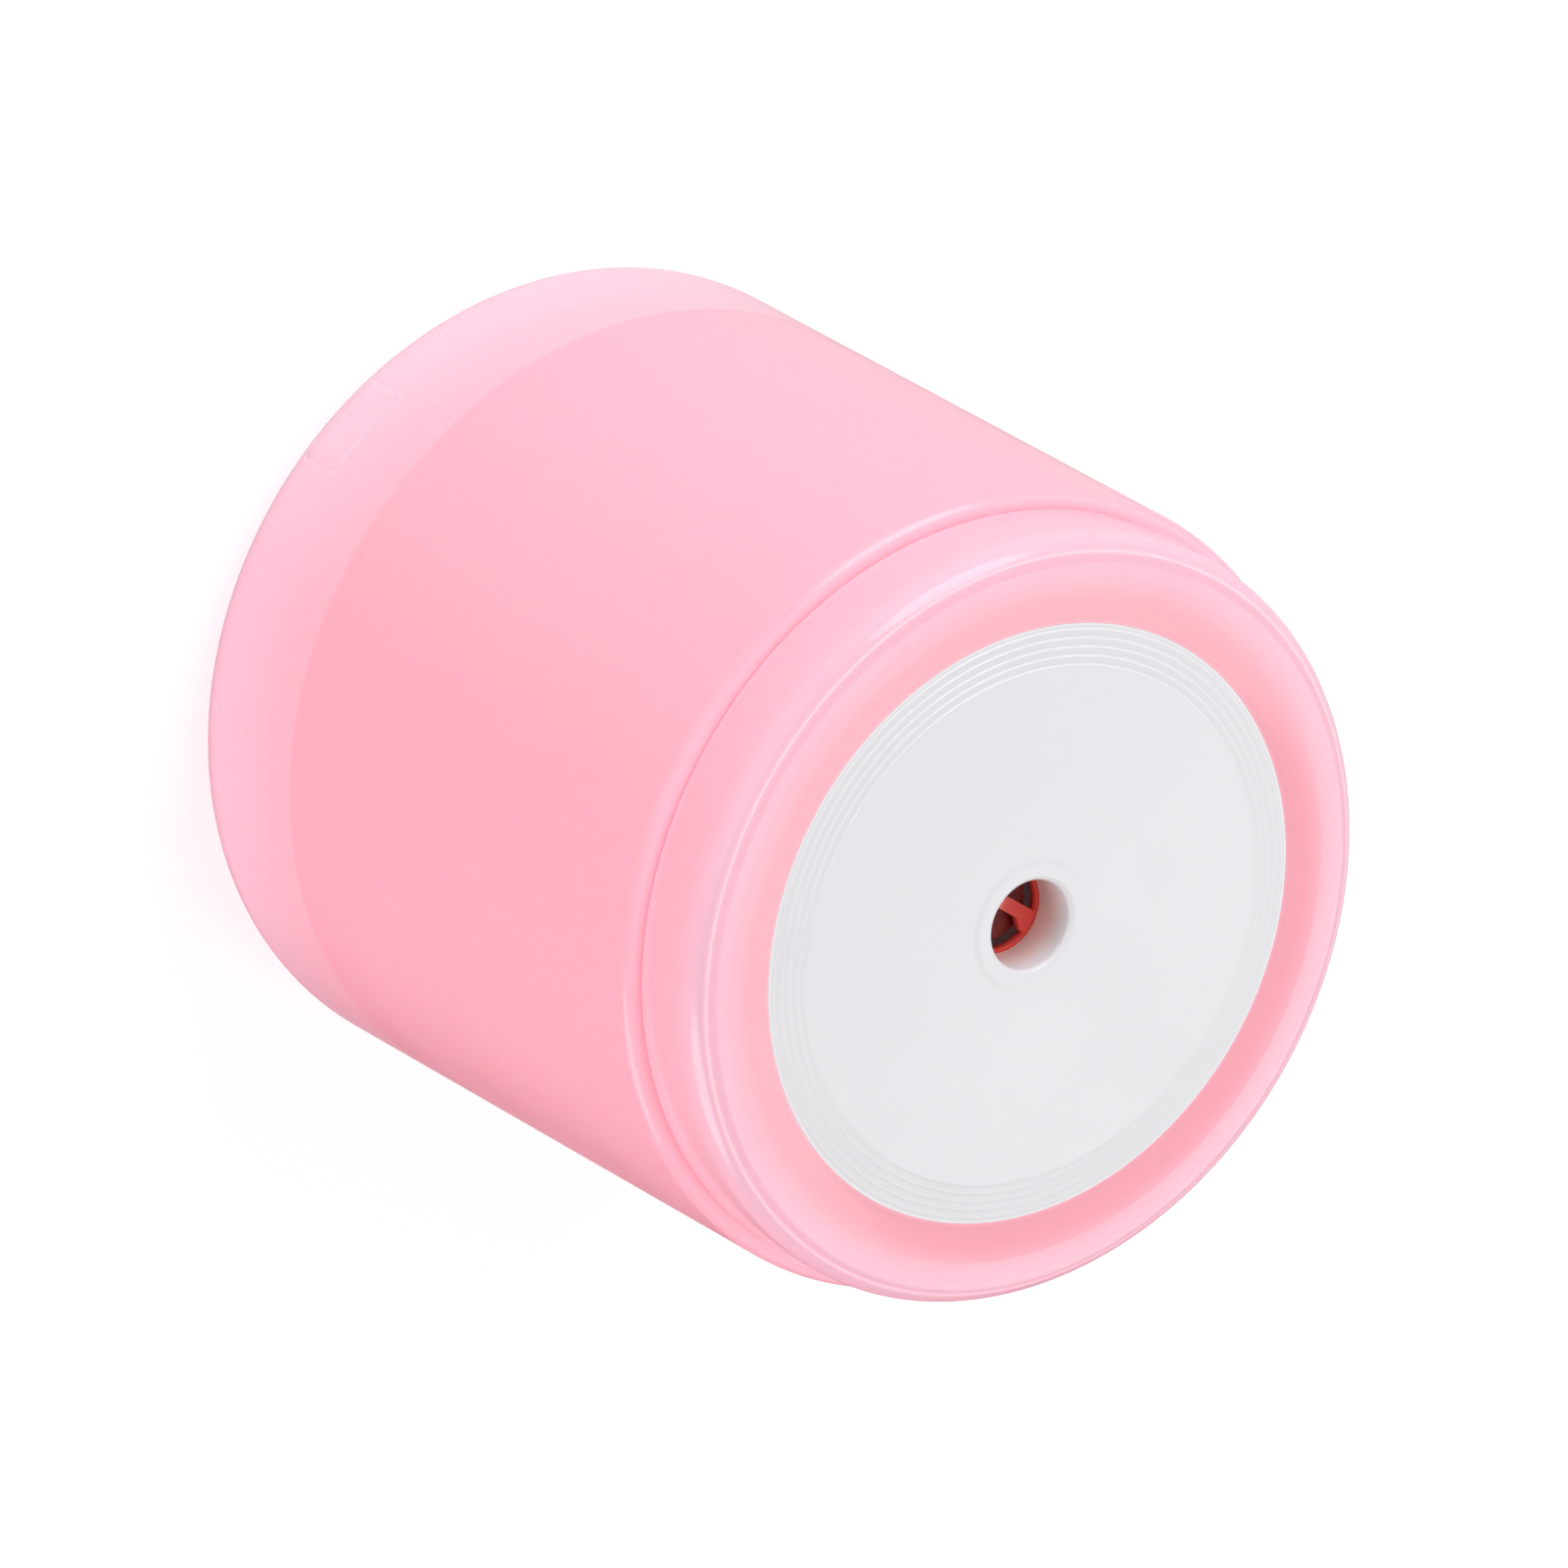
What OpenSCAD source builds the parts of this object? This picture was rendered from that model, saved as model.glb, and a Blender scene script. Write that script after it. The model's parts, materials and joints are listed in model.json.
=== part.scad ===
// Small rechargeable nail dust collector: a round body with a lift-off lid, which carries
// the white suction plate. Dust is drawn in through the hole in the plate, falls into a
// lift-out filter cup, and the cleaned air leaves through slots low at the back.
// It stands on its feet at z = 0, with the suction plate on top and the charging port in front.

/* [Body] */
// Outer radius of the outer shell
body_r = 37.5; // [36.5:0.5:39]
// Radius of the rounded lower edge of the outer shell
base_fillet = 5.5; // [4.5:0.5:6.5]
// Wall thickness of the outer shell
shell_wall = 2; // [1.8:0.1:2.2]
// Height of the shoulder below the lid
shoulder_z = 70.6; // [70.2:0.2:73]
// Height at which the inner drum's wall starts
drum_start_z = 17.6; // [17:0.2:18.4]
// How far the rubber feet stand out below the base
foot_h = 0.8; // [0.6:0.1:1]

/* [Lid] */
// Outer radius of the lid collar
lid_r = 36; // [35.7:0.1:36.4]
// Height of the lid above the shoulder, to the crest of its ring
lid_rise = 8.7; // [8.4:0.1:9.2]
// Radius of the lid's rounded outer edge
lid_round = 2.3; // [2:0.1:2.6]
// Radius of the white suction plate
plate_r = 28.1; // [27:0.1:29]
// Radius of the suction hole
hole_r = 4.2; // [3.6:0.1:4.6]
// Depth of the suction hole, down to the red guard
hole_depth = 5; // [4.4:0.1:5]
// Number of fine steps around the plate
step_count = 5; // [3:1:6]
// Height of each fine step
step_h = 0.1; // [0.06:0.01:0.12]

/* [Port and button] */
// Angle of the charging port from the front, around the body
port_angle = -15; // [-18:1:-12]
// Width of the charging port's window
port_w = 9.2; // [8.8:0.1:9.6]
// Height of the charging port's window
port_h = 5.2; // [4.8:0.1:5.4]
// Radius of the power button's cap
button_r = 4.4; // [4:0.1:4.6]
// Number of exhaust slots on each side of the button
vent_count = 6; // [4:1:6]

/* [Fan and motor] */
// Radius of the fan wheel
fan_r = 22; // [20:0.5:23.5]
// Number of fan blades
blade_count = 9; // [7:1:11]
// Radius of the motor can
motor_r = 10.1; // [9.8:0.1:10.2]
// Radius of the motor shaft
shaft_r = 1; // [0.9:0.05:1]

/* [Hidden] */
$fn = 96;

cut = 0.5;            // how far a cutter runs past the face it cuts
slip = 0.1;           // gap between pieces that are pushed together
play = 0.3;           // gap between pieces that move past each other
arc_steps = 12;       // straight lines in a rounded corner of a section

// Heights in the body
base_z = foot_h;
floor_t = 2.2;
floor_z = base_z + floor_t;
tray_z = drum_start_z + 1.4;
tray_top_z = tray_z + 1.6;
motor_z = tray_top_z + 0.4;
motor_len = 24;
deck_z = motor_z + motor_len + 0.2;
deck_t = 2;
fan_z = deck_z + deck_t + 1.2;
fan_h = 6.4;
cover_z = fan_z + fan_h + 0.6;
cover_t = 1.6;
cup_z = cover_z + cover_t + 1.2;

// Outer shell
shell_in_r = body_r - shell_wall;
shell_in_fillet = base_fillet - shell_wall;
rim_round = 1.3;

// Inner drum, which ends in the neck that the lid slides over
drum_r = shell_in_r - play;
drum_wall = 1.5;
drum_in_r = drum_r - drum_wall;
drum_rib_r = drum_in_r - 1.2;
drum_rib_h = 1.4;
drum_top_z = shoulder_z - 0.4;
neck_r = 33.6;
neck_in_r = 32;
neck_top_z = shoulder_z + 5.2;
seal_r = 0.68;
seal_z = neck_top_z - 1.8;
groove_r = neck_r - 0.9;
groove_half = 0.75;

// Feet and the screws that join the shell to the drum's legs
leg_count = 4;
leg_phase = 45;
leg_pos_r = 28.5;
leg_r = 3;
leg_boss_r = 5;
leg_boss_top_z = floor_z + 2.2;
foot_r = 4.6;
foot_recess = 0.8;
base_head_z = base_z + foot_recess + 0.15;
base_head_h = 1.35;

// Posts on the motor tray that carry the fan deck
post_count = 4;
post_pos_r = 29.5;
post_r = 2.6;
tray_slot_count = 10;

// Lid
lid_z = shoulder_z + 0.12;
lid_wall = 1.6;
lid_in_r = lid_r - lid_wall;
lid_top_z = shoulder_z + lid_rise;
round_r = lid_r - lid_round;
round_z = lid_top_z - lid_round;
seam_angle = 62;
seam_r = round_r + lid_round * cos(seam_angle);
shelf_z = lid_top_z - 3;
shelf_t = 1;
shelf_in_r = lid_in_r - 1.4;
plate_rim_z = lid_top_z - 0.3;
plate_top_z = plate_rim_z + step_count * step_h;
plate_z = plate_rim_z - 1.6;
step_pitch = 0.8;
step_edge = 0.5;
lip_h = 0.1;
lip_round = 0.6;
lip_r = hole_r + 2;
tube_wall = 1.4;
tube_z = plate_top_z + lip_h - hole_depth;
flange_t = 1.2;
flange_in_r = 19.5;
plate_boss_count = 3;
plate_boss_pos_r = 22.5;
plate_boss_r = 2.6;

// Red guard behind the suction hole: a ring crossed by one bar, which carries a baffle disc below
guard_cup_wall = 1.3;
guard_ring_t = 0.8;
guard_window_r = 3.9;
guard_bar_x0 = -1.25;
guard_bar_x1 = 0.05;
guard_root_x = 0.9;
guard_root_y0 = 2.3;
guard_root_y1 = 3.3;
baffle_r = 3.45;
baffle_t = 0.5;
baffle_gap = 0.4;

// Filter cup
cup_r = neck_in_r - 0.6;
cup_wall = 1.2;
cup_in_r = cup_r - cup_wall;
cup_top_z = neck_top_z - 0.6;
cup_flange_r = 27;
grid_z = cup_z + 0.8;
pad_z = grid_z + 0.9;
pad_base_t = 1.2;
pad_h = 2.6;
pleat_pitch = 4;
pleat_w = 1.6;
clamp_z = pad_z + pad_h + 0.1;

// Fan
fan_back_t = 1;
fan_hub_r = 4;
blade_w = 1;
blade_curve_r = 15;
eye_r = 8.5;

// Motor
motor_flat = 15.2;
lead_x = 4;
can_wall = 0.8;
end_cap_h = 2.4;
can_z = motor_z + end_cap_h;
can_top_z = motor_z + motor_len;
boss_r = 3;
boss_h = 1.6;
bush_r = 2.4;
bush_play = 0.05;
rotor_r = 6.7;
rotor_z = motor_z + 7.5;
rotor_h = 11;
rotor_hub_r = 2.2;
magnet_in_r = rotor_r + 0.4;
commutator_r = 2.2;
commutator_z = motor_z + 3.9;
commutator_h = 2.4;

// Battery, boards, socket, button
cell_r = 7;
cell_len = 43;
cell_y = 8;
cell_z = floor_z + 1.2 + cell_r;
board_t = 1.2;
board_z = floor_z + 1.1;
board_w = 18;
board_near = 14.5;
board_far = 31.5;
board_screw_at = 18;
board_screw_side = 7.5;
socket_w = 8.94;
socket_h = 3.2;
socket_far = 34.4;
socket_len = 7.3;
port_z = board_z + board_t + socket_h / 2;
port_in_w = port_w - 0.6;
port_in_h = port_h - 1.4;
port_corner = 0.8;
flap_gap = 0.08;
flap_in_r = body_r - 1;
button_z = 10.6;
button_gap = 0.25;
button_flange_r = 5.4;
button_back_y = 34;
switch_board_y = 28.2;
switch_board_w = 16;
plunger_r = 1.7;
wire_r = 0.55;
board_wire_z = board_z + board_t + wire_r;
wire_sides = 8;

// ---------- shared shapes ----------

// Points of a round corner, from angle a0 to a1
function arc(cx, cy, r, a0, a1) =
  [for (i = [0:arc_steps]) let (a = a0 + (a1 - a0) * i / arc_steps) [cx + r * cos(a), cy + r * sin(a)]];

module disc(r, z0, z1) {
  translate([0, 0, z0]) cylinder(r = r, h = z1 - z0);
}

module ring(r_out, r_in, z0, z1) {
  difference() {
    disc(r_out, z0, z1);
    disc(r_in, z0 - cut, z1 + cut);
  }
}

// Copies around the Z axis, at radius r
module around(count, r, phase = 0) {
  for (i = [0:count - 1])
    rotate([0, 0, phase + i * 360 / count]) translate([r, 0, 0]) children();
}

// A box given by two opposite corners
module block(low, high) {
  translate(low) cube(high - low);
}

// A flat bar with rounded corners in X and Z, running along Y
module rounded_bar(w, h, corner, y0, y1) {
  translate([0, y1, 0]) rotate([90, 0, 0]) linear_extrude(y1 - y0) {
    square([w - 2 * corner, h], center = true);
    square([w, h - 2 * corner], center = true);
    for (x = [-1, 1], y = [-1, 1])
      translate([x * (w / 2 - corner), y * (h / 2 - corner)]) circle(r = corner);
  }
}

// A pan-head screw whose shaft points along +Z from its head
module screw(head_r, head_h, shaft_radius, shaft_len) {
  cylinder(r = head_r, h = head_h);
  cylinder(r = shaft_radius, h = head_h + shaft_len);
}

// Points halfway between a wire's own points, on a smooth curve through them
function smooth(path) = [
  for (i = [0:len(path) - 2]) let (
    before = path[max(i - 1, 0)],
    after = path[min(i + 2, len(path) - 1)],
    middle = (9 * (path[i] + path[i + 1]) - before - after) / 16
  ) each [path[i], middle],
  path[len(path) - 1]
];

// Unit direction of a path at each of its points
function headings(path) = [
  for (i = [0:len(path) - 1])
    let (run = path[min(i + 1, len(path) - 1)] - path[max(i - 1, 0)]) run / norm(run)
];

// Sideways directions carried along the headings without a twist
function sideways(heads, i = 0, last = [1, 0.2, 0.1], done = []) =
  i == len(heads) ? done : let (
    flat = last - heads[i] * (last * heads[i]),
    side = flat / norm(flat)
  ) sideways(heads, i + 1, side, concat(done, [side]));

// A wire swept along a smooth path
module wire(path) {
  route = smooth(path);
  heads = headings(route);
  sides = sideways(heads);
  last = len(route) - 1;
  points = [
    for (i = [0:last], k = [0:wire_sides - 1]) let (turn = k * 360 / wire_sides)
      route[i] + wire_r * (cos(turn) * sides[i] + sin(turn) * cross(heads[i], sides[i]))
  ];
  faces = concat(
    [[for (k = [0:wire_sides - 1]) k]],
    [
      for (i = [0:last - 1], k = [0:wire_sides - 1]) let (
        a = i * wire_sides + k,
        b = i * wire_sides + (k + 1) % wire_sides
      ) each [[a, b + wire_sides, b], [a, a + wire_sides, b + wire_sides]]
    ],
    [[for (k = [wire_sides - 1:-1:0]) last * wire_sides + k]]
  );
  polyhedron(points, faces);
}

// ---------- lid ----------

// Outline of the plate's top, from the rim inward to the lip of the hole
function plate_top_points() = concat(
  [[plate_r, plate_rim_z]],
  [for (i = [0:step_count - 1], k = [0, 1])
    [plate_r - step_edge - i * step_pitch, plate_rim_z + (i + k) * step_h]],
  [[lip_r, plate_top_z], [lip_r - 0.2, plate_top_z + lip_h]],
  arc(hole_r + lip_round, plate_top_z + lip_h - lip_round, lip_round, 90, 180)
);

module suction_plate() {
  color("white") difference() {
    union() {
      rotate_extrude() polygon(concat(
        plate_top_points(),
        [[hole_r, tube_z], [hole_r + tube_wall, tube_z], [hole_r + tube_wall, plate_z], [plate_r, plate_z]]
      ));
      around(plate_boss_count, plate_boss_pos_r, 90)
        disc(plate_boss_r, plate_z - flange_t, plate_z + cut);
    }
    around(plate_boss_count, plate_boss_pos_r, 90)
      disc(0.95, plate_z - flange_t - cut, plate_rim_z - 0.3);
  }
}

module bezel_ring() {
  bezel_in_r = plate_r + slip;
  bezel_out_r = seam_r - 0.08;
  start = acos((bezel_out_r - round_r) / lid_round);
  foot_r1 = shelf_in_r - slip;
  color("lightpink") difference() {
    rotate_extrude() polygon(concat(
      arc(round_r, round_z, lid_round, start, 90),
      [
        [round_r - 1.9, lid_top_z], [bezel_in_r, plate_rim_z], [bezel_in_r, plate_z],
        [flange_in_r, plate_z], [flange_in_r, plate_z - flange_t], [foot_r1, plate_z - flange_t],
        [foot_r1, shelf_z + shelf_t], [bezel_out_r, shelf_z + shelf_t]
      ]
    ));
    around(plate_boss_count, plate_boss_pos_r, 90)
      disc(plate_boss_r + play, plate_z - flange_t - cut, plate_z + cut);
  }
}

module lid_collar() {
  color("pink") rotate_extrude() polygon(concat(
    [[lid_in_r, lid_z], [lid_r, lid_z]],
    arc(round_r, round_z, lid_round, 0, seam_angle),
    [
      [seam_r, shelf_z + shelf_t], [shelf_in_r, shelf_z + shelf_t],
      [shelf_in_r, shelf_z], [lid_in_r, shelf_z]
    ]
  ));
}

// One end of the guard's bar, with its flared root on the ring
module guard_bar_end(z0, z1) {
  translate([0, 0, z0]) linear_extrude(z1 - z0) polygon([
    [guard_bar_x0, 0], [guard_bar_x1, 0], [guard_bar_x1, guard_root_y0],
    [guard_root_x, guard_root_y1], [guard_root_x, guard_window_r + cut],
    [guard_bar_x0, guard_window_r + cut]
  ]);
}

module inlet_guard() {
  cup_in = hole_r + tube_wall + slip;
  ring_z = tube_z - guard_ring_t;
  baffle_z = ring_z - baffle_gap - baffle_t;
  color("firebrick") {
    ring(cup_in + guard_cup_wall, cup_in, ring_z, plate_z - 0.4);
    ring(cup_in + cut, guard_window_r, ring_z, tube_z);
    guard_bar_end(ring_z, tube_z);
    mirror([0, 1, 0]) guard_bar_end(ring_z, tube_z);
    block([guard_bar_x0, -baffle_r + 1, baffle_z], [guard_bar_x1, baffle_r - 1, ring_z + cut]);
    disc(baffle_r, baffle_z, baffle_z + baffle_t);
  }
}

module lid_screws() {
  head_h = 1.2;
  color("silver") around(plate_boss_count, plate_boss_pos_r, 90)
    translate([0, 0, plate_z - flange_t - head_h]) screw(3.5, head_h, 0.9, 2.4);
}

module rim_seal() {
  color("dimgray") rotate_extrude()
    translate([groove_r + seal_r + 0.02, seal_z]) circle(r = seal_r, $fn = 32);
}

// ---------- filter cup ----------

module filter_cup() {
  color("whitesmoke") {
    ring(cup_r, cup_in_r, cup_z, cup_top_z);
    ring(cup_in_r + cut, cup_flange_r, cup_z, grid_z);
  }
}

// Round grid that holds the pad up in the cup
module filter_grid() {
  ring_r = [7, 14, 21];
  rib_w = 1.2;
  grid_r = cup_in_r - slip;
  color("whitesmoke") {
    ring(grid_r, cup_flange_r - 0.6, grid_z, pad_z);
    for (r = ring_r) ring(r + rib_w / 2, r - rib_w / 2, grid_z, pad_z);
    around(8, 0) block([ring_r[0], -rib_w / 2, grid_z], [cup_flange_r, rib_w / 2, pad_z]);
    around(2, 0) block([-ring_r[0], -rib_w / 2, grid_z], [ring_r[0], rib_w / 2, pad_z]);
    around(2, 0, 90) block([-ring_r[0], -rib_w / 2, grid_z], [0, rib_w / 2, pad_z]);
  }
}

module filter_pad() {
  pad_r = cup_in_r - slip;
  rows = floor(pad_r / pleat_pitch);
  color("ivory") {
    disc(pad_r, pad_z, pad_z + pad_base_t);
    intersection() {
      disc(pad_r - 2.4, pad_z, pad_z + pad_h);
      for (i = [-rows:rows])
        block([i * pleat_pitch - pleat_w / 2, -pad_r, pad_z + pad_base_t - cut],
              [i * pleat_pitch + pleat_w / 2, pad_r, pad_z + pad_h]);
    }
    ring(pad_r, pad_r - 2.4, pad_z + pad_base_t - cut, pad_z + pad_h);
  }
}

module filter_clamp() {
  color("lightgray") ring(cup_in_r - slip, 27.6, clamp_z, clamp_z + 1.3);
}

module filter_gasket() {
  color("dimgray") ring(cup_r - 0.4, 27.4, cup_z - 1, cup_z);
}

// ---------- fan ----------

module fan_cover() {
  skirt_r = drum_in_r - play;
  bar_w = 1.2;
  color("gainsboro") {
    ring(skirt_r, skirt_r - 1.4, deck_z + deck_t, cover_z + cut);
    ring(skirt_r, eye_r, cover_z, cover_z + cover_t);
    ring(skirt_r, cup_r + play, cover_z + cover_t - cut, cup_z + 1.8);
    ring(eye_r / 2 + bar_w / 2, eye_r / 2 - bar_w / 2, cover_z, cover_z + 1.2);
    around(2, 0)
      block([-eye_r - cut, -bar_w / 2, cover_z], [eye_r + cut, bar_w / 2, cover_z + 1.2]);
    around(2, 0, 90)
      block([-eye_r - cut, -bar_w / 2, cover_z], [0, bar_w / 2, cover_z + 1.2]);
  }
}

// One backward-curved blade, as a piece of a thin round arc
module blade_outline() {
  intersection() {
    difference() {
      circle(r = fan_r - 0.2);
      circle(r = fan_hub_r + 2.5);
    }
    translate([blade_curve_r * 0.8, -blade_curve_r * 0.55]) difference() {
      circle(r = blade_curve_r);
      circle(r = blade_curve_r - blade_w);
    }
    translate([0, -blade_curve_r * 0.15]) square([fan_r, fan_r]);
  }
}

module impeller() {
  color("dimgray") difference() {
    union() {
      disc(fan_r, fan_z, fan_z + fan_back_t);
      disc(fan_hub_r, fan_z, fan_z + fan_h);
      translate([0, 0, fan_z + fan_back_t - 0.2]) linear_extrude(fan_h - fan_back_t + 0.2)
        around(blade_count, 0) blade_outline();
    }
    disc(shaft_r + 0.01, fan_z - cut, fan_z + fan_h + cut);
  }
}

module fan_deck() {
  deck_r = drum_in_r - play;
  collar_r = motor_r + play;
  color("gainsboro") difference() {
    union() {
      disc(deck_r, deck_z, deck_z + deck_t);
      disc(collar_r + 1.6, deck_z - 6, deck_z + cut);
    }
    disc(collar_r, deck_z - 6 - cut, deck_z);
    disc(boss_r + play, deck_z - cut, deck_z + deck_t + cut);
    around(post_count, post_pos_r) disc(1.2, deck_z - cut, deck_z + deck_t + cut);
    around(post_count, 0, leg_phase) for (turn = [-22:11:22]) rotate([0, 0, turn])
      block([24, -1.6, deck_z - cut], [30, 1.6, deck_z + deck_t + cut]);
  }
}

module deck_screws() {
  head_h = 1.6;
  color("silver") around(post_count, post_pos_r)
    translate([0, 0, deck_z + deck_t + head_h]) rotate([180, 0, 0]) screw(2.4, head_h, 1, 10);
}

// ---------- motor ----------

// The motor's outline: a circle with two flats
module motor_outline(inset) {
  intersection() {
    circle(r = motor_r - inset);
    square([2 * motor_r, motor_flat - 2 * inset], center = true);
  }
}

module motor_can() {
  color("lightsteelblue") difference() {
    union() {
      translate([0, 0, can_z]) linear_extrude(can_top_z - can_z) motor_outline(0);
      disc(boss_r, can_top_z - cut, can_top_z + boss_h);
    }
    translate([0, 0, can_z - cut]) linear_extrude(can_top_z - can_z - can_wall + cut) motor_outline(can_wall);
    disc(bush_r, can_top_z - can_wall - cut, can_top_z + boss_h + cut);
  }
}

module motor_magnets() {
  color("darkslategray") intersection() {
    ring(motor_r - can_wall - 0.05, magnet_in_r, rotor_z - 1.5, rotor_z + rotor_h + 1.5);
    for (side = [-1, 1])
      translate([side * motor_r, 0, rotor_z]) cube([motor_r, 11.2, 3 * rotor_h], center = true);
  }
}

module motor_end_cap() {
  color("white") difference() {
    union() {
      translate([0, 0, motor_z]) linear_extrude(end_cap_h) motor_outline(0);
      translate([0, 0, can_z - cut]) linear_extrude(1.2 + cut) motor_outline(can_wall + slip);
    }
    disc(bush_r, motor_z + 0.4, motor_z + 2.2);
    disc(shaft_r + 0.2, motor_z - cut, can_z + 1.2 + cut);
  }
}

module motor_bushes() {
  color("goldenrod") {
    ring(bush_r, shaft_r + bush_play, can_top_z - 0.6, can_top_z + boss_h);
    ring(bush_r, shaft_r + bush_play, motor_z + 0.4, motor_z + 2.2);
  }
}

module motor_brushes() {
  low_z = can_z + 1.2;
  color("peru") for (side = [-1, 1]) scale([side, 1, 1]) {
    block([5.6, -0.6, low_z], [6.2, 0.6, commutator_z + 2]);
    block([commutator_r + play, -0.6, commutator_z + 0.6], [5.7, 0.6, commutator_z + 2]);
  }
}

module motor_terminals() {
  color("gold") for (side = [-1, 1])
    block([side * lead_x - 1.1, -motor_flat / 2 - 1.4, motor_z + 0.6],
          [side * lead_x + 1.1, -motor_flat / 2, motor_z + 1.2]);
}

module rotor_core() {
  pole_w = 2;
  color("slategray") difference() {
    union() {
      disc(rotor_hub_r, rotor_z, rotor_z + rotor_h);
      around(3, 0) block([0, -pole_w / 2, rotor_z], [rotor_r - 1, pole_w / 2, rotor_z + rotor_h]);
      difference() {
        ring(rotor_r, rotor_r - 1.2, rotor_z, rotor_z + rotor_h);
        around(3, rotor_r, 60)
          translate([0, 0, rotor_z + rotor_h / 2]) cube([5, 1.6, rotor_h + 2 * cut], center = true);
      }
    }
    disc(shaft_r, rotor_z - cut, rotor_z + rotor_h + cut);
  }
}

module rotor_windings() {
  mid = [3.8, 0, rotor_z + rotor_h / 2];
  color("chocolate") around(3, 0) difference() {
    translate(mid) cube([2.4, 4, rotor_h + 2.4], center = true);
    translate(mid) cube([4, 2, rotor_h], center = true);
  }
}

module commutator() {
  color("gold") ring(commutator_r, shaft_r, commutator_z, commutator_z + commutator_h);
}

module motor_shaft() {
  color("silver") disc(shaft_r, motor_z + 0.5, fan_z + fan_h + 0.1);
}

// ---------- body ----------

// Half-section of the outer shell
module shell_section() {
  polygon(concat(
    [[0, base_z]],
    arc(body_r - base_fillet, base_z + base_fillet, base_fillet, -90, 0),
    arc(body_r - rim_round, shoulder_z - rim_round, rim_round, 0, 90),
    [[shell_in_r, shoulder_z]],
    arc(shell_in_r - shell_in_fillet, floor_z + shell_in_fillet, shell_in_fillet, 0, -90),
    [[0, floor_z]]
  ));
}

// A bar of rounded section through the charging port
module port_bar(w, h) {
  rotate([0, 0, port_angle]) translate([0, 0, port_z]) rounded_bar(w, h, port_corner, -body_r - 1, -30);
}

// The charging port's window, with a ledge behind the flap
module port_window() {
  difference() {
    port_bar(port_w, port_h);
    disc(flap_in_r - slip, base_z, shoulder_z);
  }
  port_bar(port_in_w, port_in_h);
}

// One upright exhaust slot, cut outward along -Y
module vent_slot() {
  half = 3.2;
  rotate([90, 0, 0]) {
    block([-0.8, -half, body_r - 5], [0.8, half, body_r + 1]);
    for (y = [-half, half]) translate([0, y, body_r - 5]) cylinder(r = 0.8, h = 6, $fn = 32);
  }
}

module outer_shell() {
  vent_first = 26;
  vent_pitch = 7.5;
  color("pink") difference() {
    union() {
      rotate_extrude() shell_section();
      around(leg_count, leg_pos_r, leg_phase) disc(leg_boss_r, floor_z - cut, leg_boss_top_z);
      rotate([0, 0, port_angle]) for (x = [-1, 1])
        translate([x * board_screw_side, -board_screw_at, 0]) disc(2.2, floor_z - cut, board_z);
      for (x = [-1, 1]) scale([x, 1, 1])
        block([6.8, switch_board_y - 1.3, floor_z - cut], [9.8, switch_board_y + 2.5, 14]);
    }
    port_window();
    around(leg_count, leg_pos_r, leg_phase) {
      disc(foot_r + 0.15, base_z - cut, base_z + foot_recess);
      disc(2.5, base_z, base_head_z + base_head_h + 0.05);
      disc(1.4, base_z, leg_boss_top_z + cut);
    }
    rotate([0, 0, port_angle]) for (x = [-1, 1])
      translate([x * board_screw_side, -board_screw_at, 0]) disc(0.9, base_z + 1, board_z + cut);
    translate([0, body_r + 1, button_z]) rotate([90, 0, 0]) cylinder(r = button_r + button_gap, h = 6);
    block([-switch_board_w / 2 - 0.1, switch_board_y - 0.1, floor_z + 1],
          [switch_board_w / 2 + 0.1, switch_board_y + board_t + 0.1, 14 + cut]);
    for (side = [-1, 1], i = [0:vent_count - 1])
      rotate([0, 0, 180 + side * (vent_first + i * vent_pitch)]) translate([0, 0, button_z]) vent_slot();
  }
}

module inner_drum() {
  color("hotpink") rotate_extrude() polygon([
    [drum_in_r, drum_start_z], [drum_r, drum_start_z],
    [drum_r, drum_top_z], [neck_r, drum_top_z],
    [neck_r, seal_z - groove_half], [groove_r, seal_z - groove_half],
    [groove_r, seal_z + groove_half], [neck_r, seal_z + groove_half],
    [neck_r, neck_top_z], [neck_in_r, neck_top_z], [neck_in_r, drum_top_z - 0.2],
    [drum_in_r, drum_top_z - 1.9], [drum_in_r, tray_top_z + drum_rib_h],
    [drum_rib_r, tray_top_z + drum_rib_h], [drum_rib_r, tray_top_z], [drum_in_r, tray_top_z]
  ]);
}

// Tray that closes the drum below its rib. Its legs stand on the shell's bosses, its collar holds
// the motor and its posts carry the fan deck.
module motor_tray() {
  slot_w = 2.4;
  lead_hole_r = 1;
  color("hotpink") difference() {
    union() {
      disc(drum_in_r - 0.05, tray_z, tray_top_z);
      ring(motor_r + 1.9, motor_r + play, tray_z, motor_z + 3);
      around(leg_count, leg_pos_r, leg_phase) disc(leg_r, leg_boss_top_z, tray_z + cut);
      around(post_count, post_pos_r) {
        disc(post_r, tray_z, deck_z);
        block([-6, -0.8, tray_z], [0, 0.8, deck_z - 18]);
      }
    }
    around(leg_count, leg_pos_r, leg_phase) disc(1.25, leg_boss_top_z - cut, leg_boss_top_z + 9);
    around(post_count, post_pos_r) disc(1.05, deck_z - 10, deck_z + cut);
    around(tray_slot_count, 0, 18)
      block([14, -slot_w / 2, tray_z - cut], [24.5, slot_w / 2, tray_top_z + cut]);
    for (x = [-lead_x, lead_x])
      translate([x, -motor_flat / 2 - 1, 0]) disc(lead_hole_r, tray_z - cut, tray_top_z + cut);
  }
}

module foot_pads() {
  color("dimgray") around(leg_count, leg_pos_r, leg_phase) disc(foot_r, 0, base_z + foot_recess - 0.05);
}

module base_screws() {
  color("silver") around(leg_count, leg_pos_r, leg_phase)
    translate([0, 0, base_head_z]) screw(2.3, base_head_h, 1.2, 9.5);
}

// ---------- battery and boards ----------

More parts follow.
